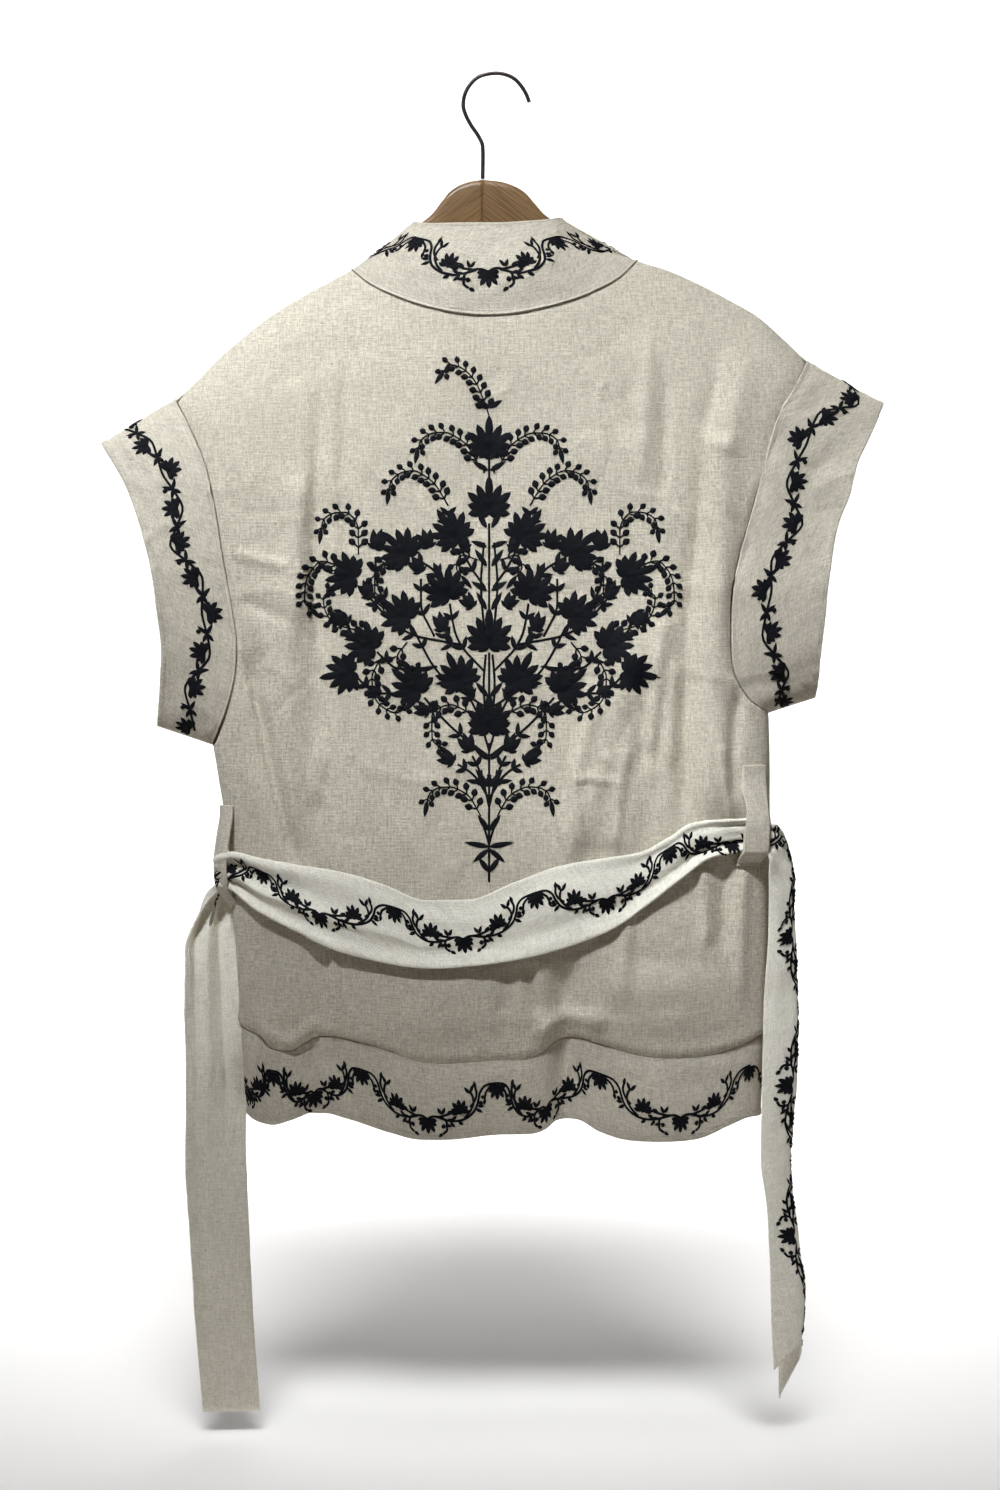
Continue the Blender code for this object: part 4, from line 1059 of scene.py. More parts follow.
for row, left, right, middle, half, height in PLEATS:
    fade = np.exp(-(((place - row) / np.where(place < row, left, right)) ** 2))
    pleats += height * fade * np.exp(-(((c[None] - middle) / half) ** 2))
over_the_back = np.exp(-(((place - 17.5) / 7.5) ** 4))
pleats += SASH_LEAN * over_the_back * c[None] ** 1.5
run = lengths(sash, 0)[:, len(c) // 2]
# cross creases of the left end, pressed by folding: distance from its hem, height
for distance, height in ((0.020, 0.0008), (0.152, -0.0012), (0.176, 0.0014), (0.300, 0.0008)):
    pleats += (height * np.exp(-(((run - distance) / 0.004) ** 2)))[:, None]
sash = sash + grid_normals(sash, OUT_BACK) * pleats[..., None]
dents = crumple(lengths(sash, 1), lengths(sash, 0), 91)
sash = sash + grid_normals(sash, OUT_BACK) * (SASH_DENTS * dents)[..., None]
sash = edge_roll(sash, OUT_BACK, first_col=SASH_EDGE, last_col=SASH_EDGE)
# the sash wears the linen whose paler colours are painted sunlight
cloth("sash_cloth", sash, BAND_CLOTH_WALL, OUT_BACK, SASH_LINEN_PAINTED_SUNLIT, ["belt"])

# %% Loops
LOOP_EDGE = ((0.0004, 0.0022), (-0.0005, 0.0008))
OUT_LOOPS = {"left": (-1, 0, 0), "right": OUT_BACK}
LEFT_LOOP_BACK, LEFT_LOOP_FRONT = -0.0215, -0.0020  # its y: it lies round the side seam
LEFT_LOOP_TUCK = 0.012  # its foot is turned in this far

dense = curve_points(LOOP_LEFT, 8)
z = dense[:, 0]
width_here, depth_here = read(WIDTH_LEFT, z), read(DEPTH, z)
lift = np.maximum(dense[:, 1], 0.0003) + 0.0020
tuck = LEFT_LOOP_TUCK * np.clip((-0.602 - z) / 0.022, 0, 1) ** 1.5
strips = []
for y in np.linspace(LEFT_LOOP_BACK, LEFT_LOOP_FRONT, 13):
    section = (1 - np.abs(y / depth_here) ** SHAPE_LEFT) ** (1 / SHAPE_LEFT)
    lean = 0.45 * np.abs(y) / 0.0215
    strips.append(np.stack([-width_here * section - lift * (1 - lean * 0.4),
                            y - lift * lean + tuck, z], 1))
loops = {"left": np.stack(strips, 1)}

dense = curve_points(LOOP_RIGHT, 8)
z = dense[:, 0]
lift = np.maximum(dense[:, 1], 0.0004) + 0.0024
x0 = read(LOOP_RIGHT_X, z)
loops["right"] = np.stack([on_skin(BACK, x0 + k * LOOP_WIDTH * 0.85, z, lift)
                           for k in np.linspace(0, 1, 18)], 1)
for name, loop in loops.items():
    loop = edge_roll(loop, OUT_LOOPS[name], first_col=LOOP_EDGE, last_col=LOOP_EDGE)
    cloth("loop_cloth_" + name, loop, BAND_CLOTH_WALL, OUT_LOOPS[name], BAND_LINEN,
          ["belt_loop_" + name])

# %% [markdown]
# ## Thread
# The embroidery is black thread in satin stitch: short smooth petals and leaves, round knots and
# thin corded stems, each a little raised. On a real garment it is worked flat and then moves
# with the cloth. We do the same: motifs are placed on a flat pattern in metres, and the finished
# pattern is laid on the cloth by its own rows and columns.

# %% Thread material
def thread_material(name, colour, stitches):
    """Thread with fine bands across it, as finely as stitches says; the darker tone in the low
    bands of the bump is painted shade between the stitches.
    """
    made, tree, shader = new_material(name, {"Roughness": 0.7, "Specular IOR Level": 0.12})
    place = node(tree, "ShaderNodeUVMap", uv_map="thread").outputs["UV"]
    wave = node(tree, "ShaderNodeTexWave", {"Scale": stitches, "Distortion": 1.2, "Vector": place},
                bands_direction="DIAGONAL").outputs["Fac"]
    add_bump(tree, shader, wave, 0.5, 0.0003)
    # dark is painted shade: it darkens the grooves between the stitches
    dark = tuple(0.55 * value for value in colour)
    tone = mix_colour(tree, wave, (*dark, 1), (*colour, 1))
    tree.links.new(tone, shader.inputs["Base Color"])
    return made


BLACK_THREAD = thread_material("black_thread", (0.0050, 0.0054, 0.0080), 500.0)
SEWING_THREAD = thread_material("sewing_thread", (0.60, 0.55, 0.47), 900.0)


# %% Motifs from one small leaf
def leaf_mesh(name, along_parts, across_parts, outline):
    """A domed leaf one unit long and one wide, with the outline (half width along it) given."""
    bm = bmesh.new()
    bmesh.ops.create_grid(bm, x_segments=along_parts, y_segments=across_parts, size=0.5)
    layer = bm.loops.layers.uv.new("thread")
    for face in bm.faces:
        face.smooth = True
        for loop in face.loops:
            loop[layer].uv = (loop.vert.co.x * 0.012, loop.vert.co.y * 0.004)
    for v in bm.verts:
        t = v.co.x + 0.5
        edge = outline(t)
        side = v.co.y
        v.co = (t, side * max(edge, 0.02), (1 - (2 * side) ** 2) * (0.35 + 0.65 * edge))
    mesh = bpy.data.meshes.new(name)
    bm.to_mesh(mesh)
    bm.free()
    return mesh


LEAF = leaf_mesh("leaf", 5, 2, lambda t: math.sin(math.pi * (0.06 + 0.94 * t) ** 0.85) ** 0.85)
DROP = leaf_mesh("drop", 5, 4, lambda t: math.sin(math.pi * min(1, t + 0.02)) ** 0.7)
PETAL = leaf_mesh("petal", 6, 2, lambda t: max(0.0, math.sin(math.pi * t**1.55)) ** 0.75)


FERN_CORD_WIDTH = 0.0011


class Pattern:
    """A flat pattern of raised motifs: x and y along the cloth, z its height."""

    def __init__(self):
        self.bm = bmesh.new()

    def put(self, mesh, at, turn, size):
        matrix = (Matrix.Translation((*at, 0)) @ Matrix.Rotation(turn, 4, "Z")
                  @ Matrix.Diagonal((*size, 1)))
        mesh.transform(matrix)
        self.bm.from_mesh(mesh)
        mesh.transform(matrix.inverted())

    def leaf(self, at, turn, length, width, height=0.0006):
        self.put(LEAF, at, turn, (length, width, height))

    def knot(self, at, radius):
        self.put(DROP, (at[0] - radius, at[1]), 0, (2 * radius, 2 * radius, 0.0008))

    def fan(self, at, turn, length, petals=7, spread=2.9, width=0.27, sepals=0.0):
        """A half-open flower: petals from one point, the middle ones longest."""
        for k in range(petals):
            share = 2 * k / (petals - 1) - 1
            size = length * (1 - 0.42 * abs(share)) * (1.0 if k % 2 == 0 else 0.90)
            self.put(PETAL, at, turn + share * spread / 2, (size, length * width, 0.0007))
        ahead = length * 0.26
        base = (at[0] + math.cos(turn) * ahead, at[1] + math.sin(turn) * ahead)
        self.knot(base, length * 0.16)
        for side in (1, -1):
            if sepals:
                self.leaf(at, turn + side * 2.15, length * sepals, length * 0.20)

    def bud(self, at, turn, length):
        """A closed flower: a drop with three short tips and two sepals."""
        self.put(DROP, at, turn, (length * 0.78, length * 0.62, 0.0009))
        for lean in (-0.42, 0, 0.42):
            self.leaf(at, turn + lean, length * (1.0 if lean == 0 else 0.92), length * 0.40)
        for lean in (-1.25, 1.25):
            self.leaf(at, turn + lean, length * 0.46, length * 0.20)

    def fern(self, points, leaf_size):
        """A curling sprig: a thin stem with pairs of small round leaves and a hooked tip."""
        line = along(points, np.linspace(0, 1, 60))
        self.cord(line[::8], FERN_CORD_WIDTH)
        step = np.gradient(line, axis=0)
        total = float(np.linalg.norm(np.diff(line, axis=0), axis=1).sum())
        pairs = max(3, int(total / (leaf_size * 0.66)))
        for k in range(1, pairs):
            i = int(59 * k / pairs)
            heading = math.atan2(step[i][1], step[i][0])
            size = leaf_size * (1.0 - 0.25 * k / pairs)
            for lean in (0.85, -0.85):
                turn = heading + lean
                self.leaf(line[i], turn, size * 0.62, size * 0.15, 0.0004)
                bead = line[i] + 0.34 * size * np.array((math.cos(turn), math.sin(turn)))
                self.put(DROP, bead, turn, (size * 0.70, size * 0.56, 0.0008))
        heading = math.atan2(step[-1][1], step[-1][0])
        self.leaf(line[-6], heading, leaf_size * 1.25, leaf_size * 0.40)

    def cord(self, points, width):
        """A thin raised stem along a smooth line."""
        line = curve_points(points, 4)
        step = np.gradient(line, axis=0)
        step /= np.linalg.norm(step, axis=1, keepdims=True)
        side = np.stack([-step[:, 1], step[:, 0]], 1)
        made = bmesh.ops.create_grid(self.bm, x_segments=2, y_segments=len(line) - 1, size=1)
        layer = self.bm.loops.layers.uv.verify()
        count = len(line) - 1
        for v in made["verts"]:
            i = round((v.co.y + 1) / 2 * count)
            across = v.co.x
            for loop in v.link_loops:
                loop[layer].uv = (i * 0.002, across * 0.0008)
            p = line[i] + side[i] * across * width / 2
            v.co = (p[0], p[1], 0.0005 * (1 - abs(across)))


def finish_pattern(pattern, name, mapping, material=BLACK_THREAD):
    """Lays the flat pattern on its cloth and makes it an object."""
    mesh = bpy.data.meshes.new(name)
    pattern.bm.to_mesh(mesh)
    pattern.bm.free()
    flat = np.zeros(len(mesh.vertices) * 3)
    mesh.vertices.foreach_get("co", flat)
    flat = flat.reshape(-1, 3)
    placed = mapping(flat[:, 0], flat[:, 1], flat[:, 2])
    mesh.vertices.foreach_set("co", placed.ravel())
    mesh.update()
    for layer in mesh.uv_layers:
        layer.name = "thread"
    for face in mesh.polygons:
        face.use_smooth = True
    print(name, len(mesh.polygons), "faces")
    return add_piece(name, mesh, material)


# %% Laying a pattern on a band
def strip_mapping(points, normals, start):
    """Maps distance along and across a band to its points; start is the row where along is 0."""
    middle = points.shape[1] // 2
    run = lengths(points, 0)[:, middle]
    run = run - run[start]
    widths = lengths(points, 1)
    total = widths[:, -1]

    def mapping(a, b, h):
        row = np.interp(a, run, np.arange(len(run)))
        i = np.clip(row.astype(int), 0, len(run) - 2)
        f = np.clip(row - i, 0, 1)[:, None]
        share = np.clip(0.5 + b / (total[i] * (1 - f[:, 0]) + total[i + 1] * f[:, 0]), 0, 1)
        shares = widths[len(run) // 2] / total[len(run) // 2]
        col = np.interp(share, shares, np.arange(points.shape[1]))
        j = np.clip(col.astype(int), 0, points.shape[1] - 2)
        g = np.clip(col - j, 0, 1)[:, None]

        def blend(field):
            one = field[i, j] * (1 - g) + field[i, j + 1] * g
            two = field[i + 1, j] * (1 - g) + field[i + 1, j + 1] * g
            return one * (1 - f) + two * f

        normal = blend(normals)
        normal /= np.linalg.norm(normal, axis=1, keepdims=True)
        return blend(points) + normal * (h + 0.00025)[:, None]

    return mapping, run


# %% [markdown]
# ## The border garland
# The bands share one plain running garland, as such borders do: a doubled stem waves along the
# band, a flower hangs in each hollow and under each crest, another stands on each slope, and
# forked twigs and small buds fill the gaps. Half a wave is charted here in millimetres, from a
# hollow at 0 to a crest at 60, and every second half is its mirror image. On each band a short
# table says where the hollows and crests come, because cloth taken up by a fold hides part of a
# wave, and another says how far the garland wanders from the middle of the band.

# %% Half a wave of the garland, in millimetres along and across
HALF_WAVE = 60.0
GARLAND_CORDS = (
    ((0, -8.6), (5, -6.4), (11, -6.8), (16.0, -10.6), (15.8, -15.6), (12.4, -18.6)),
    ((8, -6.6), (16, -8.8), (24, -9.8), (33, -8.2), (40, -3.6), (43.5, 3), (45.5, 9),
     (50, 13.2), (60, 14.4)),
    ((9, -6.8), (17, -5.0), (24, -3.2), (29, -5.0)),
    ((31, -8.2), (36.5, -3.4), (39.5, 2.4), (38.4, 8.0), (36.5, 10.5)),
    ((36.5, -1.0), (41, 4.0), (42.5, 9.0), (41.5, 13.0)),
    ((60, 13.0), (55, 12.0), (50.5, 8.5), (48.8, 3.5)),
)
GARLAND_LEAVES = (
    (12, -4.6, 120, 6.0), (12.5, -4.8, 62, 6.4), (17, -4.6, 35, 5.4),
    (36.5, 9.0, 128, 6.8), (37.5, 9.4, 70, 6.8), (41.8, 12.0, 100, 6.0),
    (41.5, -2.5, -35, 6.2), (43.0, -0.5, -8, 5.4), (14.8, -12.0, -20, 5.6),
    (16.6, -9.0, 5, 5.4), (19, -10.4, -50, 5.8), (12, -18.4, 215, 4.4),
    (26, -10.4, -35, 4.6), (49.2, 4.0, -100, 5.2), (20.5, -8.6, 30, 5.0),
)
GARLAND_KNOTS = ((13.2, -13.2, 1.9), (45.6, 1.4, 1.9), (47.4, 5.4, 1.6))
GARLAND_FANS = ((0, -8.6, -90, 13.6), (28.0, -4.6, 96, 13.0), (60, 12.4, -90, 13.0))
CORD_WIDTH = 0.0019
LEAF_WIDTH = 0.0028


def garland(name, points, out, start, marks, scale, rise, drift):
    """The running garland along a band. marks are the places of hollows and crests, in metres
    from the start row, the first with its number: an even number is a hollow."""
    normals = grid_normals(points, out)
    mapping, run = strip_mapping(points, normals, start)
    flat = Pattern()
    low, high = run[0] + 0.004, run[-1] - 0.004
    first, places = marks
    numbers = np.arange(first, first + len(places))
    drift = np.array(sorted(drift))

    def at(number, a, b):
        side = 1 if number % 2 == 0 else -1
        share = number + (a if side > 0 else HALF_WAVE - a) / HALF_WAVE
        place = float(np.interp(share, numbers, places))
        bend = float(np.interp(place, drift[:, 0], drift[:, 1]))
        return place, b * rise * 0.001 * scale + bend, side

    def inside(place):
        return low < place < high

    for number in numbers[:-1]:
        for row in GARLAND_CORDS:
            line = [at(number, a, b)[:2] for a, b in row]
            if all(inside(place) for place, across in line):
                flat.cord(line, CORD_WIDTH * scale)
        for a, b, turn, length in GARLAND_LEAVES:
            x, y, side = at(number, a, b)
            if inside(x):
                turned = math.radians(turn if side > 0 else 180 - turn)
                flat.leaf((x, y), turned, length * 0.001 * scale, LEAF_WIDTH * scale)
        for a, b, radius in GARLAND_KNOTS:
            x, y, side = at(number, a, b)
            if inside(x):
                flat.knot((x, y), radius * 0.001 * scale)
        for a, b, turn, length in GARLAND_FANS:
            if number % 2 == 1 and a in (0, 60):
                continue
            x, y, side = at(number, a, b)
            if inside(x - 0.006) and inside(x + 0.006):
                flat.fan((x, y), math.radians(turn if side > 0 else 180 - turn),
                         length * 0.001 * scale)
    return finish_pattern(flat, name, mapping)


def even_marks(first, count, step):
    return first, [(first + k) * step for k in range(count)]


# %% Garlands on the bands
def find_row(points, x):
    return int(np.argmin(np.abs(points[:, points.shape[1] // 2, 0] - x)))


def hem_along(name):
    """The grid of a hem border, turned so that its rows run across it."""
    return CLOTHS["hem_border_" + name]["points"].transpose(1, 0, 2)[:, ::-1]


neck_middle = neck_rows.start + find_row(neckband[neck_rows], -0.0066)
garland(
    "garland_neckband", neckband, OUT_BACK, neck_middle, even_marks(-15, 31, 0.0640), 1.05, 1.1,
    drift=((-0.9, 0), (-0.12, -0.002), (-0.06, -0.001), (0, 0.005), (0.06, -0.001),
           (0.12, -0.002), (0.9, 0)))

hem_strip = hem_along("back")
hem_run = lengths(hem_strip, 0)[:, hem_strip.shape[1] // 2]
hem_x = hem_strip[:, hem_strip.shape[1] // 2, 0]
HEM_MARKS = (-0.1960, -0.1840, -0.1640, -0.1355, -0.0980, -0.0510, 0.0010, 0.0360, 0.0760,
             0.1350, 0.1870, 0.2200)
hem_places = list(np.interp(HEM_MARKS, hem_x, hem_run))
hem_places[0], hem_places[-1] = -0.010, hem_run[-1] + 0.030
garland(
    "garland_hem_back", hem_strip, OUT_BACK, 0, (-5, hem_places), 0.90, 1.15,
    drift=((0, -0.004), (0.06, -0.003), (0.10, -0.004), (1, -0.004)))
for side in ("left", "right"):
    garland(
        "garland_hem_front_" + side, hem_along("front_" + side), OUT_FRONT, 0,
        even_marks(0, 4, 0.056), 0.90, 1.1, drift=((0, -0.004), (1, -0.004)))

# %% Garlands on the sleeve bands
CUFF_FLOWERS = {  # x and z of the flowers on the back of each band, from the shoulder down
    "left": ((-0.2630, -0.2808), (-0.2404, -0.2976), (-0.2396, -0.3284), (-0.2330, -0.3526),
             (-0.2246, -0.3797), (-0.2096, -0.4050), (-0.2198, -0.4339), (-0.2235, -0.4610),
             (-0.2330, -0.4889)),
    "right": ((0.2632, -0.2434), (0.2464, -0.2602), (0.2222, -0.2760), (0.2229, -0.3093),
              (0.2185, -0.3386), (0.2112, -0.3665), (0.1950, -0.3892), (0.2046, -0.4193),
              (0.2097, -0.4500), (0.2156, -0.4706)),
}
CUFF_STEP = 0.0286
CUFF_WAVE = 0.0082


def cuff_garland(name, points, flowers):
    """A single winding stem with a flower in each bay. On the back the flowers have their
    places from the table; round the front they go on evenly."""
    mapping, run = strip_mapping(points, grid_normals(points, OUT_SLEEVE), 0)
    half = float(lengths(points, 1)[:, -1].mean()) / 2
    a, b = np.meshgrid(np.arange(0.0, run[-1], 0.001), np.arange(-half, half, 0.001))
    a, b = a.ravel(), b.ravel()
    spots = mapping(a, b, np.zeros_like(a))
    places = []
    for x, z in flowers:
        cost = np.hypot(spots[:, 0] - x, spots[:, 2] - z) + 0.3 * spots[:, 1]
        best = int(np.argmin(cost))
        places.append((a[best], b[best]))
    places.sort()
    more = int(max(run[-1] - places[-1][0], places[0][0]) / CUFF_STEP)
    if run[-1] - places[-1][0] > places[0][0]:
        places += [(places[-1][0] + CUFF_STEP * k, 0.004 * math.sin(k)) for k in range(1, more)]
    else:
        places = [(places[0][0] - CUFF_STEP * k, 0.004 * math.sin(k))
                  for k in range(more - 1, 0, -1)] + places
    places = np.array(places)
    flat = Pattern()
    stem = []
    for k, (x, y) in enumerate(places):
        side = -1 if k % 2 else 1
        stem.append((x, y - side * CUFF_WAVE))
        flat.fan((x, y - side * 0.0048), side * (math.pi / 2 - 0.25), 0.0145)
        if k + 1 < len(places):
            following = places[k + 1]
            middle = (places[k] + following) / 2
            stem.append(tuple(middle))
            ahead = math.atan2(following[1] - y + 2 * side * CUFF_WAVE, following[0] - x)
            for lean, size in ((0.75, 0.0088), (-0.75, 0.0088), (2.5, 0.0075), (-2.5, 0.0075)):
                flat.leaf(middle, ahead + lean, size, 0.0031)
            off = 0.0042 * np.array((-math.sin(ahead), math.cos(ahead)))
            flat.knot(middle + off * side + 0.002, 0.0019)
    flat.cord(stem, CORD_WIDTH)
    return finish_pattern(flat, name, mapping)


for side in ("left", "right"):
    tube = CLOTHS["sleeve_cloth_" + side]["points"]
    cuff_garland("garland_sleeve_" + side, tube,
                                                    CUFF_FLOWERS[side])

# %% Garland on the sash
sash_strip = sash[:, ::-1]
sash_x = sash_strip[:, sash_strip.shape[1] // 2, 0]
sash_run = lengths(sash_strip, 0)[:, sash_strip.shape[1] // 2]
over_back = slice(TAIL_ROWS * SASH_STEPS, (TAIL_ROWS + len(BELT_BACK) - 1) * SASH_STEPS)
SASH_MARKS = (-0.1730, -0.1290, -0.0735, -0.0243, 0.0310, 0.0805, 0.1280, 0.1720)
sash_places = list(np.interp(SASH_MARKS, sash_x[over_back], sash_run[over_back]))
SASH_WAVE = 0.0570  # half a wave of the garland along the hanging ends
before = [sash_places[0] - k * SASH_WAVE for k in range(9, 0, -1)]
after = [sash_places[-1] + k * SASH_WAVE for k in range(1, 11)]
garland(
    "garland_sash", sash_strip, OUT_BACK, 0, (-3 - len(before), before + sash_places + after),
    0.92, 0.92, drift=((0, 0.002), (sash_places[0], 0.001), (sash_places[1], 0.001),
                       (sash_places[3], 0.004), (sash_places[5], 0.004),
                       (sash_places[6], -0.002), (sash_places[7], 0.001),
                       (sash_places[7] + 0.15, -0.0015), (1.6, -0.0015)))

# %% [markdown]
# ## The spray on the back
# A large symmetrical spray fills the middle of the back: leafy half-open flowers on a central
# stem, closed buds between them, and sprigs that curl outwards all round. Such sprays are a
# common kind of embroidery. This one is charted here, one half in millimetres from the
# foot of the stem, and the other half mirrors it. It is laid on the relief of the back, so every
# petal follows the folds.

# %% Chart of the spray: side, height and, where it has them, turn from upright and size
SPRAY_FOOT = (-0.0050, -0.5985)
FLOWERS = (
    (0, 312, 0, 27), (0, 268, 0, 27), (24, 248, 34, 26), (60, 236, 48, 26),
    (100, 220, 72, 26), (30, 206, 24, 27), (60, 190, 58, 26), (86, 168, 62, 26),
    (0, 170, 0, 28), (20, 142, 26, 26), (52, 136, 50, 26), (101, 150, 100, 25), (0, 108, 0, 27),
)
BUDS = (
    (44, 241.4, 20, 15), (84, 240.5, -20, 16), (50, 223.4, 30, 14), (12, 197.8, 40, 13),
    (34, 180.1, 10, 15), (88, 204.9, 20, 14), (108, 194.3, 150, 15), (12, 133.6, 45, 12),
    (44, 120.7, 70, 13), (14, 91.7, 20, 15), (26, 84, 60, 14), (16, 240.5, 30, 11),
    (72, 225.3, 0, 11), (80, 136.1, 95, 12),
)
FERNS = (
    ((7, 300), (18, 318), (36, 326), (50, 320), (53, 308)),
    ((30, 272), (42, 290), (58, 298), (72, 290), (74, 278)),
    ((96, 236), (96, 256), (108, 268), (122, 262), (124, 250)),
    ((108, 226), (122, 232), (134, 220), (136, 202), (128, 194)),
    ((84, 180), (102, 182), (118, 190), (122, 206), (114, 212)),
    ((78, 162), (86, 146), (82, 128), (68, 120), (58, 126)),
    ((70, 232), (84, 224), (84, 204), (72, 194)),
    ((60, 172), (68, 160), (60, 150), (48, 152)),
    ((12, 118), (28, 126), (42, 118), (42, 102), (32, 92)),
    ((6, 44), (16, 60), (32, 66), (44, 60), (46, 50)),
    ((8, 232), (20, 236), (24, 226), (18, 218)),
)
CREST = ((0, 338), (-5, 352), (-14, 368), (-28, 376), (-36, 366))
SPRIG_LEAVES = (
    (0.5, 22, 80, 18), (0.5, 20, 130, 15), (0.5, 4, 35, 13), (0.5, 34, 35, 14), (1, 66, 35, 16),
    (1, 86, 50, 14), (1, 132, 40, 14), (2, 196, 30, 15), (2, 210, 60, 13), (2, 228, 35, 15),
    (2, 242, 70, 12), (2, 256, 30, 14), (1, 298, 60, 13), (1, 306, 30, 13), (0, 344, 60, 11),
)
SPRAY_STEMS = (
    ((0, -4), (0, 84), (0, 108)), ((0, 108), (0, 140), (0, 170)), ((0, 170), (0, 220), (0, 268)),
    ((0, 265), (0, 293), (0, 340)), ((3, 176), (6, 214), (3, 252)), ((2, 112), (4, 140), (2, 168)),
    ((0, 92), (8, 118), (20, 142)), ((0, 88), (26, 108), (52, 136)),
    ((2, 124), (34, 146), (60, 190)), ((3, 150), (22, 172), (30, 206)),
    ((20, 170), (62, 180), (100, 220)), ((38, 154), (64, 152), (86, 168)),
    ((52, 136), (80, 134), (101, 150)), ((30, 206), (40, 224), (60, 236)),
    ((3, 212), (14, 228), (24, 248)), ((60, 190), (80, 208), (84, 240)),
    ((0, 51), (6, 75), (14, 92)), ((0, 57), (12, 75), (26, 84)),
    ((40, 176), (50, 200), (50, 223)), ((20, 170), (30, 172), (34, 180)),
    ((86, 168), (102, 180), (108, 194)), ((0, 24), (3, 34), (6, 42)),
    ((4, 296), (3, 300), (7, 302)), ((24, 256), (30, 262), (30, 270)),
)


def build_spray():
    flat = Pattern()
    mm = 0.001

    def turned(from_up, sign):
        return math.radians(90 - sign * from_up)

    for sign in (1, -1):
        for row in SPRAY_STEMS:
            if row[0][0] == row[1][0] == row[-1][0] and sign < 0:
                continue
            stem = along([(sign * x * mm, h * mm) for x, h in row], np.linspace(0, 1, 12))
            flat.cord(stem[::2], 0.0017)
            for i, size in ((4, 0.0100), (8, 0.0085)) if row[-1][0] > 12 else ():
                ahead = math.atan2(*(stem[i + 1] - stem[i])[::-1])
                flat.leaf(stem[i], ahead + 0.8, size, 0.0036)
                flat.leaf(stem[i], ahead - 0.8, size, 0.0036)
        for x, h, turn, size in FLOWERS:
            if x == 0 and sign < 0:
                continue
            flat.fan((sign * x * mm, h * mm), turned(turn, sign), size * mm, 9, 3.4, 0.225, 0.34)
        for x, h, turn, size in BUDS:
            flat.bud((sign * x * mm, h * mm), turned(turn, sign), size * mm)
        for row in FERNS:
            flat.fern([(sign * x * mm, h * mm) for x, h in row], 0.0094)
        for x, h, turn, size in SPRIG_LEAVES:
            flat.leaf((sign * x * mm, h * mm), turned(turn, sign), size * mm, 0.0042)
    flat.fern([(x * mm, h * mm) for x, h in CREST], 0.0094)
    return flat


def back_mapping(a, b, h):
    x, z = a + SPRAY_FOOT[0], b + SPRAY_FOOT[1]
    return on_skin(BACK, x, z, h + 0.0003) + np.array((0, -SEAM_HALF, 0))


finish_pattern(build_spray(), "spray_back", back_mapping)

# %% [markdown]
# ## Seams
# Bands are topstitched about three millimetres from their edges. Each stitch is a tiny leaf of
# cream thread, one every 3.2 millimetres, laid like the embroidery.

# %% Topstitching
STITCH_STEP = 0.0032


def topstitch(name, points, out, from_edge, side):
    """A row of stitches from_edge metres inside one side of a strip (-1 first, 1 last column)."""
    mapping, run = strip_mapping(points, grid_normals(points, out), 0)
    width = lengths(points, 1)[:, -1]
    flat = Pattern()
    for a in np.arange(0.004, run[-1] - 0.004, STITCH_STEP):
        half = float(np.interp(a, run, width)) / 2
        flat.leaf((a, side * (half - from_edge)), 0, 0.0023, 0.0005, 0.00025)
    finish_pattern(flat, "stitches_" + name, mapping, material=SEWING_THREAD)


topstitch("neck", neckband, OUT_BACK, 0.0032, -1)
topstitch("neck_edge", neckband, OUT_BACK, 0.0030, 1)
topstitch("hem_back", hem_strip, OUT_BACK, 0.0040, -1)
for side in ("left", "right"):
    tube = CLOTHS["sleeve_cloth_" + side]["points"]
    topstitch("armhole_" + side, tube, OUT_SLEEVE, 0.0028, -1)
    topstitch("cuff_" + side, tube, OUT_SLEEVE, 0.0035, 1)

# %% [markdown]
# ## The hanger
# Two oak arms meet in a mitre in the middle, so the grain runs down to both sides like a
# herringbone. They keep their solids' rounded section. The hook is a bent wire.


# %% Oak and steel
def oak_group():
    """Grain that runs along an arm: the slope turns it to the arm's own lean."""
    group, given, outside = new_group("oak_grain", (
        ("INPUT", "Float", "Slope", 0.6),
        ("OUTPUT", "Color", "Color", None), ("OUTPUT", "Float", "Height", None),
    ))
    place = node(group, "ShaderNodeTexCoord").outputs["Object"]
    x, y, z = node(group, "ShaderNodeSeparateXYZ", {0: place}).outputs
    across = math_node(group, "ADD", z, math_node(group, "MULTIPLY", x, given["Slope"]))
    joined = node(group, "ShaderNodeCombineXYZ",
                  {k: math_node(group, "MULTIPLY", value, scale)
                   for k, (value, scale) in enumerate(((x, 30.0), (y, 300.0), (across, 850.0)))})
    grain = node(group, "ShaderNodeTexNoise", {"Scale": 1.0, "Detail": 5.0, "Roughness": 0.65,
                                               "Vector": joined.outputs[0]}).outputs["Fac"]
    share = ramp(group, grain, 0.34, 0.66)
    tone = mix_colour(group, share, (0.36, 0.205, 0.085, 1), (0.10, 0.053, 0.021, 1))
    set_inputs(group, outside, {"Color": tone, "Height": grain})
    return group


OAK_GRAIN = oak_group()


def oak(name, slope):
    made, tree, shader = new_material(name, {"Roughness": 0.42, "Coat Weight": 0.15})
    grain = node(tree, "ShaderNodeGroup", {"Slope": slope}, node_tree=OAK_GRAIN).outputs
    add_bump(tree, shader, grain["Height"], 0.25, 0.0005)
    tree.links.new(grain["Color"], shader.inputs["Base Color"])
    return made


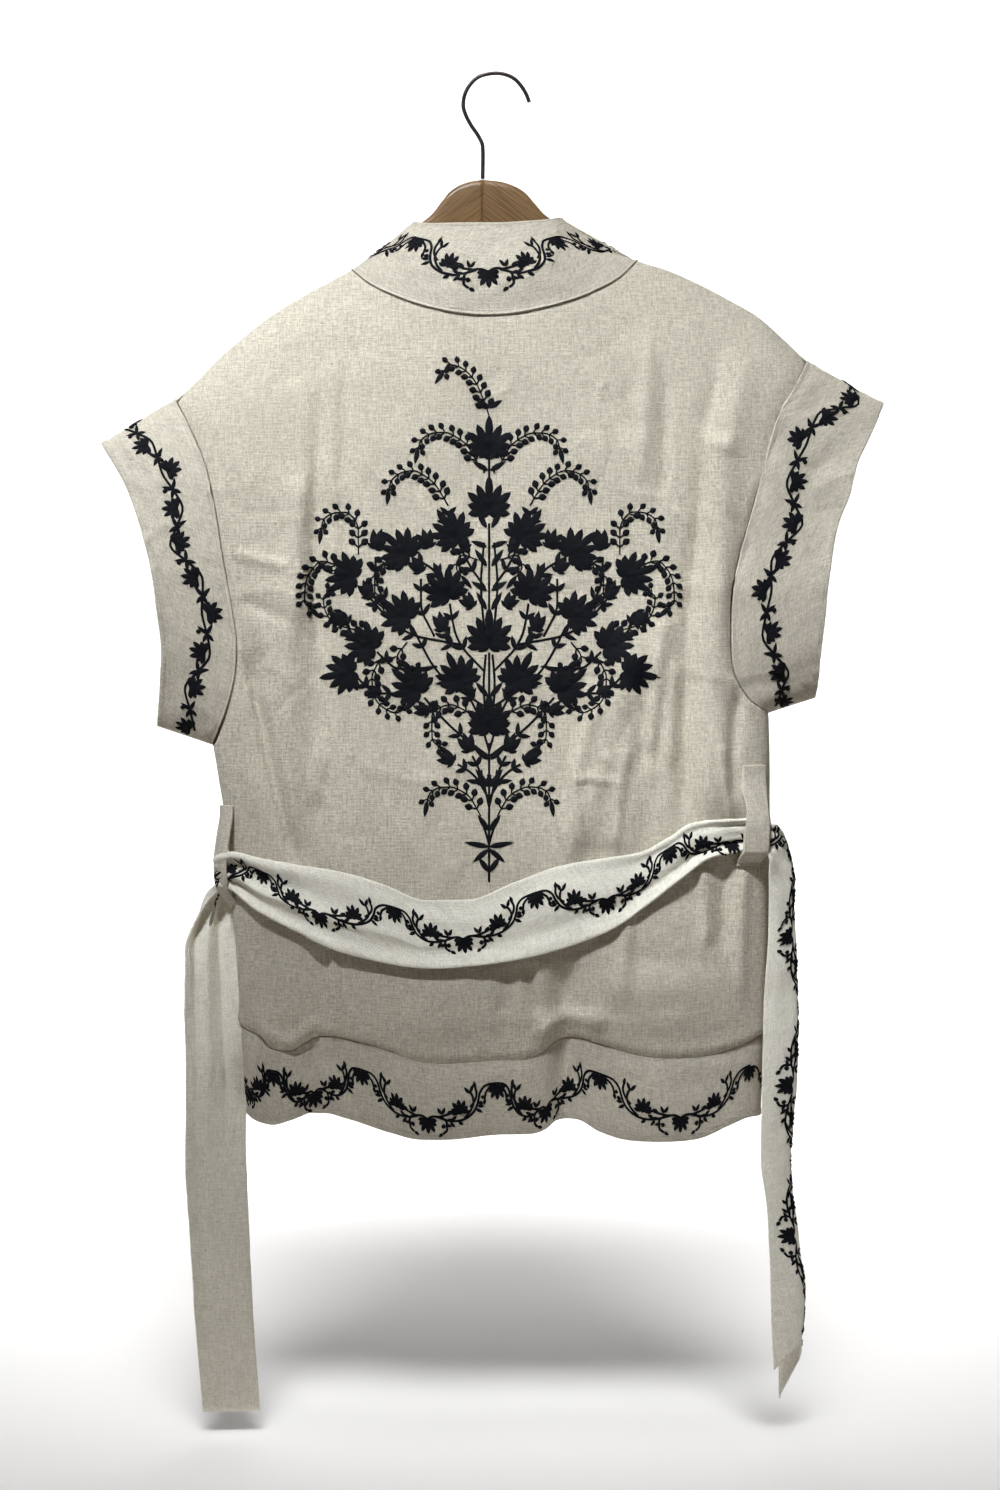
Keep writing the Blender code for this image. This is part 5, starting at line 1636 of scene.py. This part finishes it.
ARM_LEFT = tenths(
    (-98, -783, 460), (-225, -806, 460), (-337, -866, 440), (-412, -955, 400), (-480, -1042, 360),
    (-560, -1108, 330), (-640, -1172, 310), (-833, -1335, 300), (-1080, -1512, 290),
    (-1400, -1692, 270), (-1732, -1892, 250), (-1950, -2072, 230), (-2070, -2185, 200),
    (-2120, -2240, 130),
)
ARM_RIGHT = tenths(
    (-98.5, -783, 460), (67, -806, 460), (200, -866, 440), (285, -955, 400), (360, -1040, 360),
    (430, -1090, 330), (510, -1140, 310), (700, -1275, 300), (950, -1400, 290), (1313, -1520, 270),
    (1600, -1655, 250), (1850, -1795, 230), (2010, -1910, 200), (2060, -1960, 130),
)
ARM_THICK = 0.0125


def arm(name, table, material, cad_node):
    """A wooden arm: one rounded section, a ring of vertices, bridged along the table."""
    bm = bmesh.new()
    rings = []
    for x, top, height in curve_points(table, 5):
        r = min(ARM_THICK * 0.42, height * 0.3)
        made = bmesh.ops.create_circle(bm, segments=32, radius=1)["verts"]
        for v in made:
            ca, sa = v.co.x, v.co.y
            y = math.copysign(ARM_THICK / 2 - r, ca) + r * ca
            low = sa < 0
            z = (top - height + r if low else top - r) + r * sa
            v.co = (x, y, z)
        edges = list({e for v in made for e in v.link_edges})
        rings.append(edges)
    for one, two in zip(rings, rings[1:]):
        bmesh.ops.bridge_loops(bm, edges=one + two)
    bmesh.ops.holes_fill(bm, edges=[e for e in bm.edges if e.is_boundary])
    bmesh.ops.recalc_face_normals(bm, faces=bm.faces)
    for face in bm.faces:
        face.smooth = len(face.verts) == 4
    mesh = bpy.data.meshes.new(name)
    bm.to_mesh(mesh)
    bm.free()
    add_piece(name, mesh, material, [cad_node])
    print(name, len(mesh.polygons), "faces")


arm("wood_arm_left", ARM_LEFT, oak("oak_left", -0.75), "hanger_arm_left")
arm("wood_arm_right", ARM_RIGHT, oak("oak_right", 0.75), "hanger_arm_right")

# %% Hook
HOOK = tenths(
    (-100, -776), (-98, -611), (-100, -531), (-134, -451), (-188, -371), (-227, -296),
    (-246, -224), (-234, -143), (-192, -66), (-135, -13), (-67, 10), (0, 17), (67, 8), (135, -23),
    (187, -76), (228, -143), (250, -200),
)
WIRE_RADIUS = 0.0015
steel, tree, shader = new_material("dark_steel", {"Metallic": 0.8, "Roughness": 0.38})
place = node(tree, "ShaderNodeTexCoord").outputs["Object"]
wear = node(tree, "ShaderNodeTexNoise", {"Scale": 260.0, "Vector": place}).outputs["Fac"]
tone = mix_colour(tree, wear, (0.05, 0.045, 0.045, 1), (0.16, 0.13, 0.12, 1))
tree.links.new(tone, shader.inputs["Base Color"])
curve = bpy.data.curves.new("hook_wire", "CURVE")
curve.dimensions = "3D"
curve.bevel_depth = WIRE_RADIUS
curve.bevel_resolution = 4
curve.use_fill_caps = True
line = curve.splines.new("POLY")
path = curve_points(HOOK, 6)
line.points.add(len(path) - 1)
for point, (x, z) in zip(line.points, path):
    point.co = (x, 0, z, 1)
add_piece("hook_wire", curve, steel, ["hanger_hook"])
print("hook made of", len(path), "points")
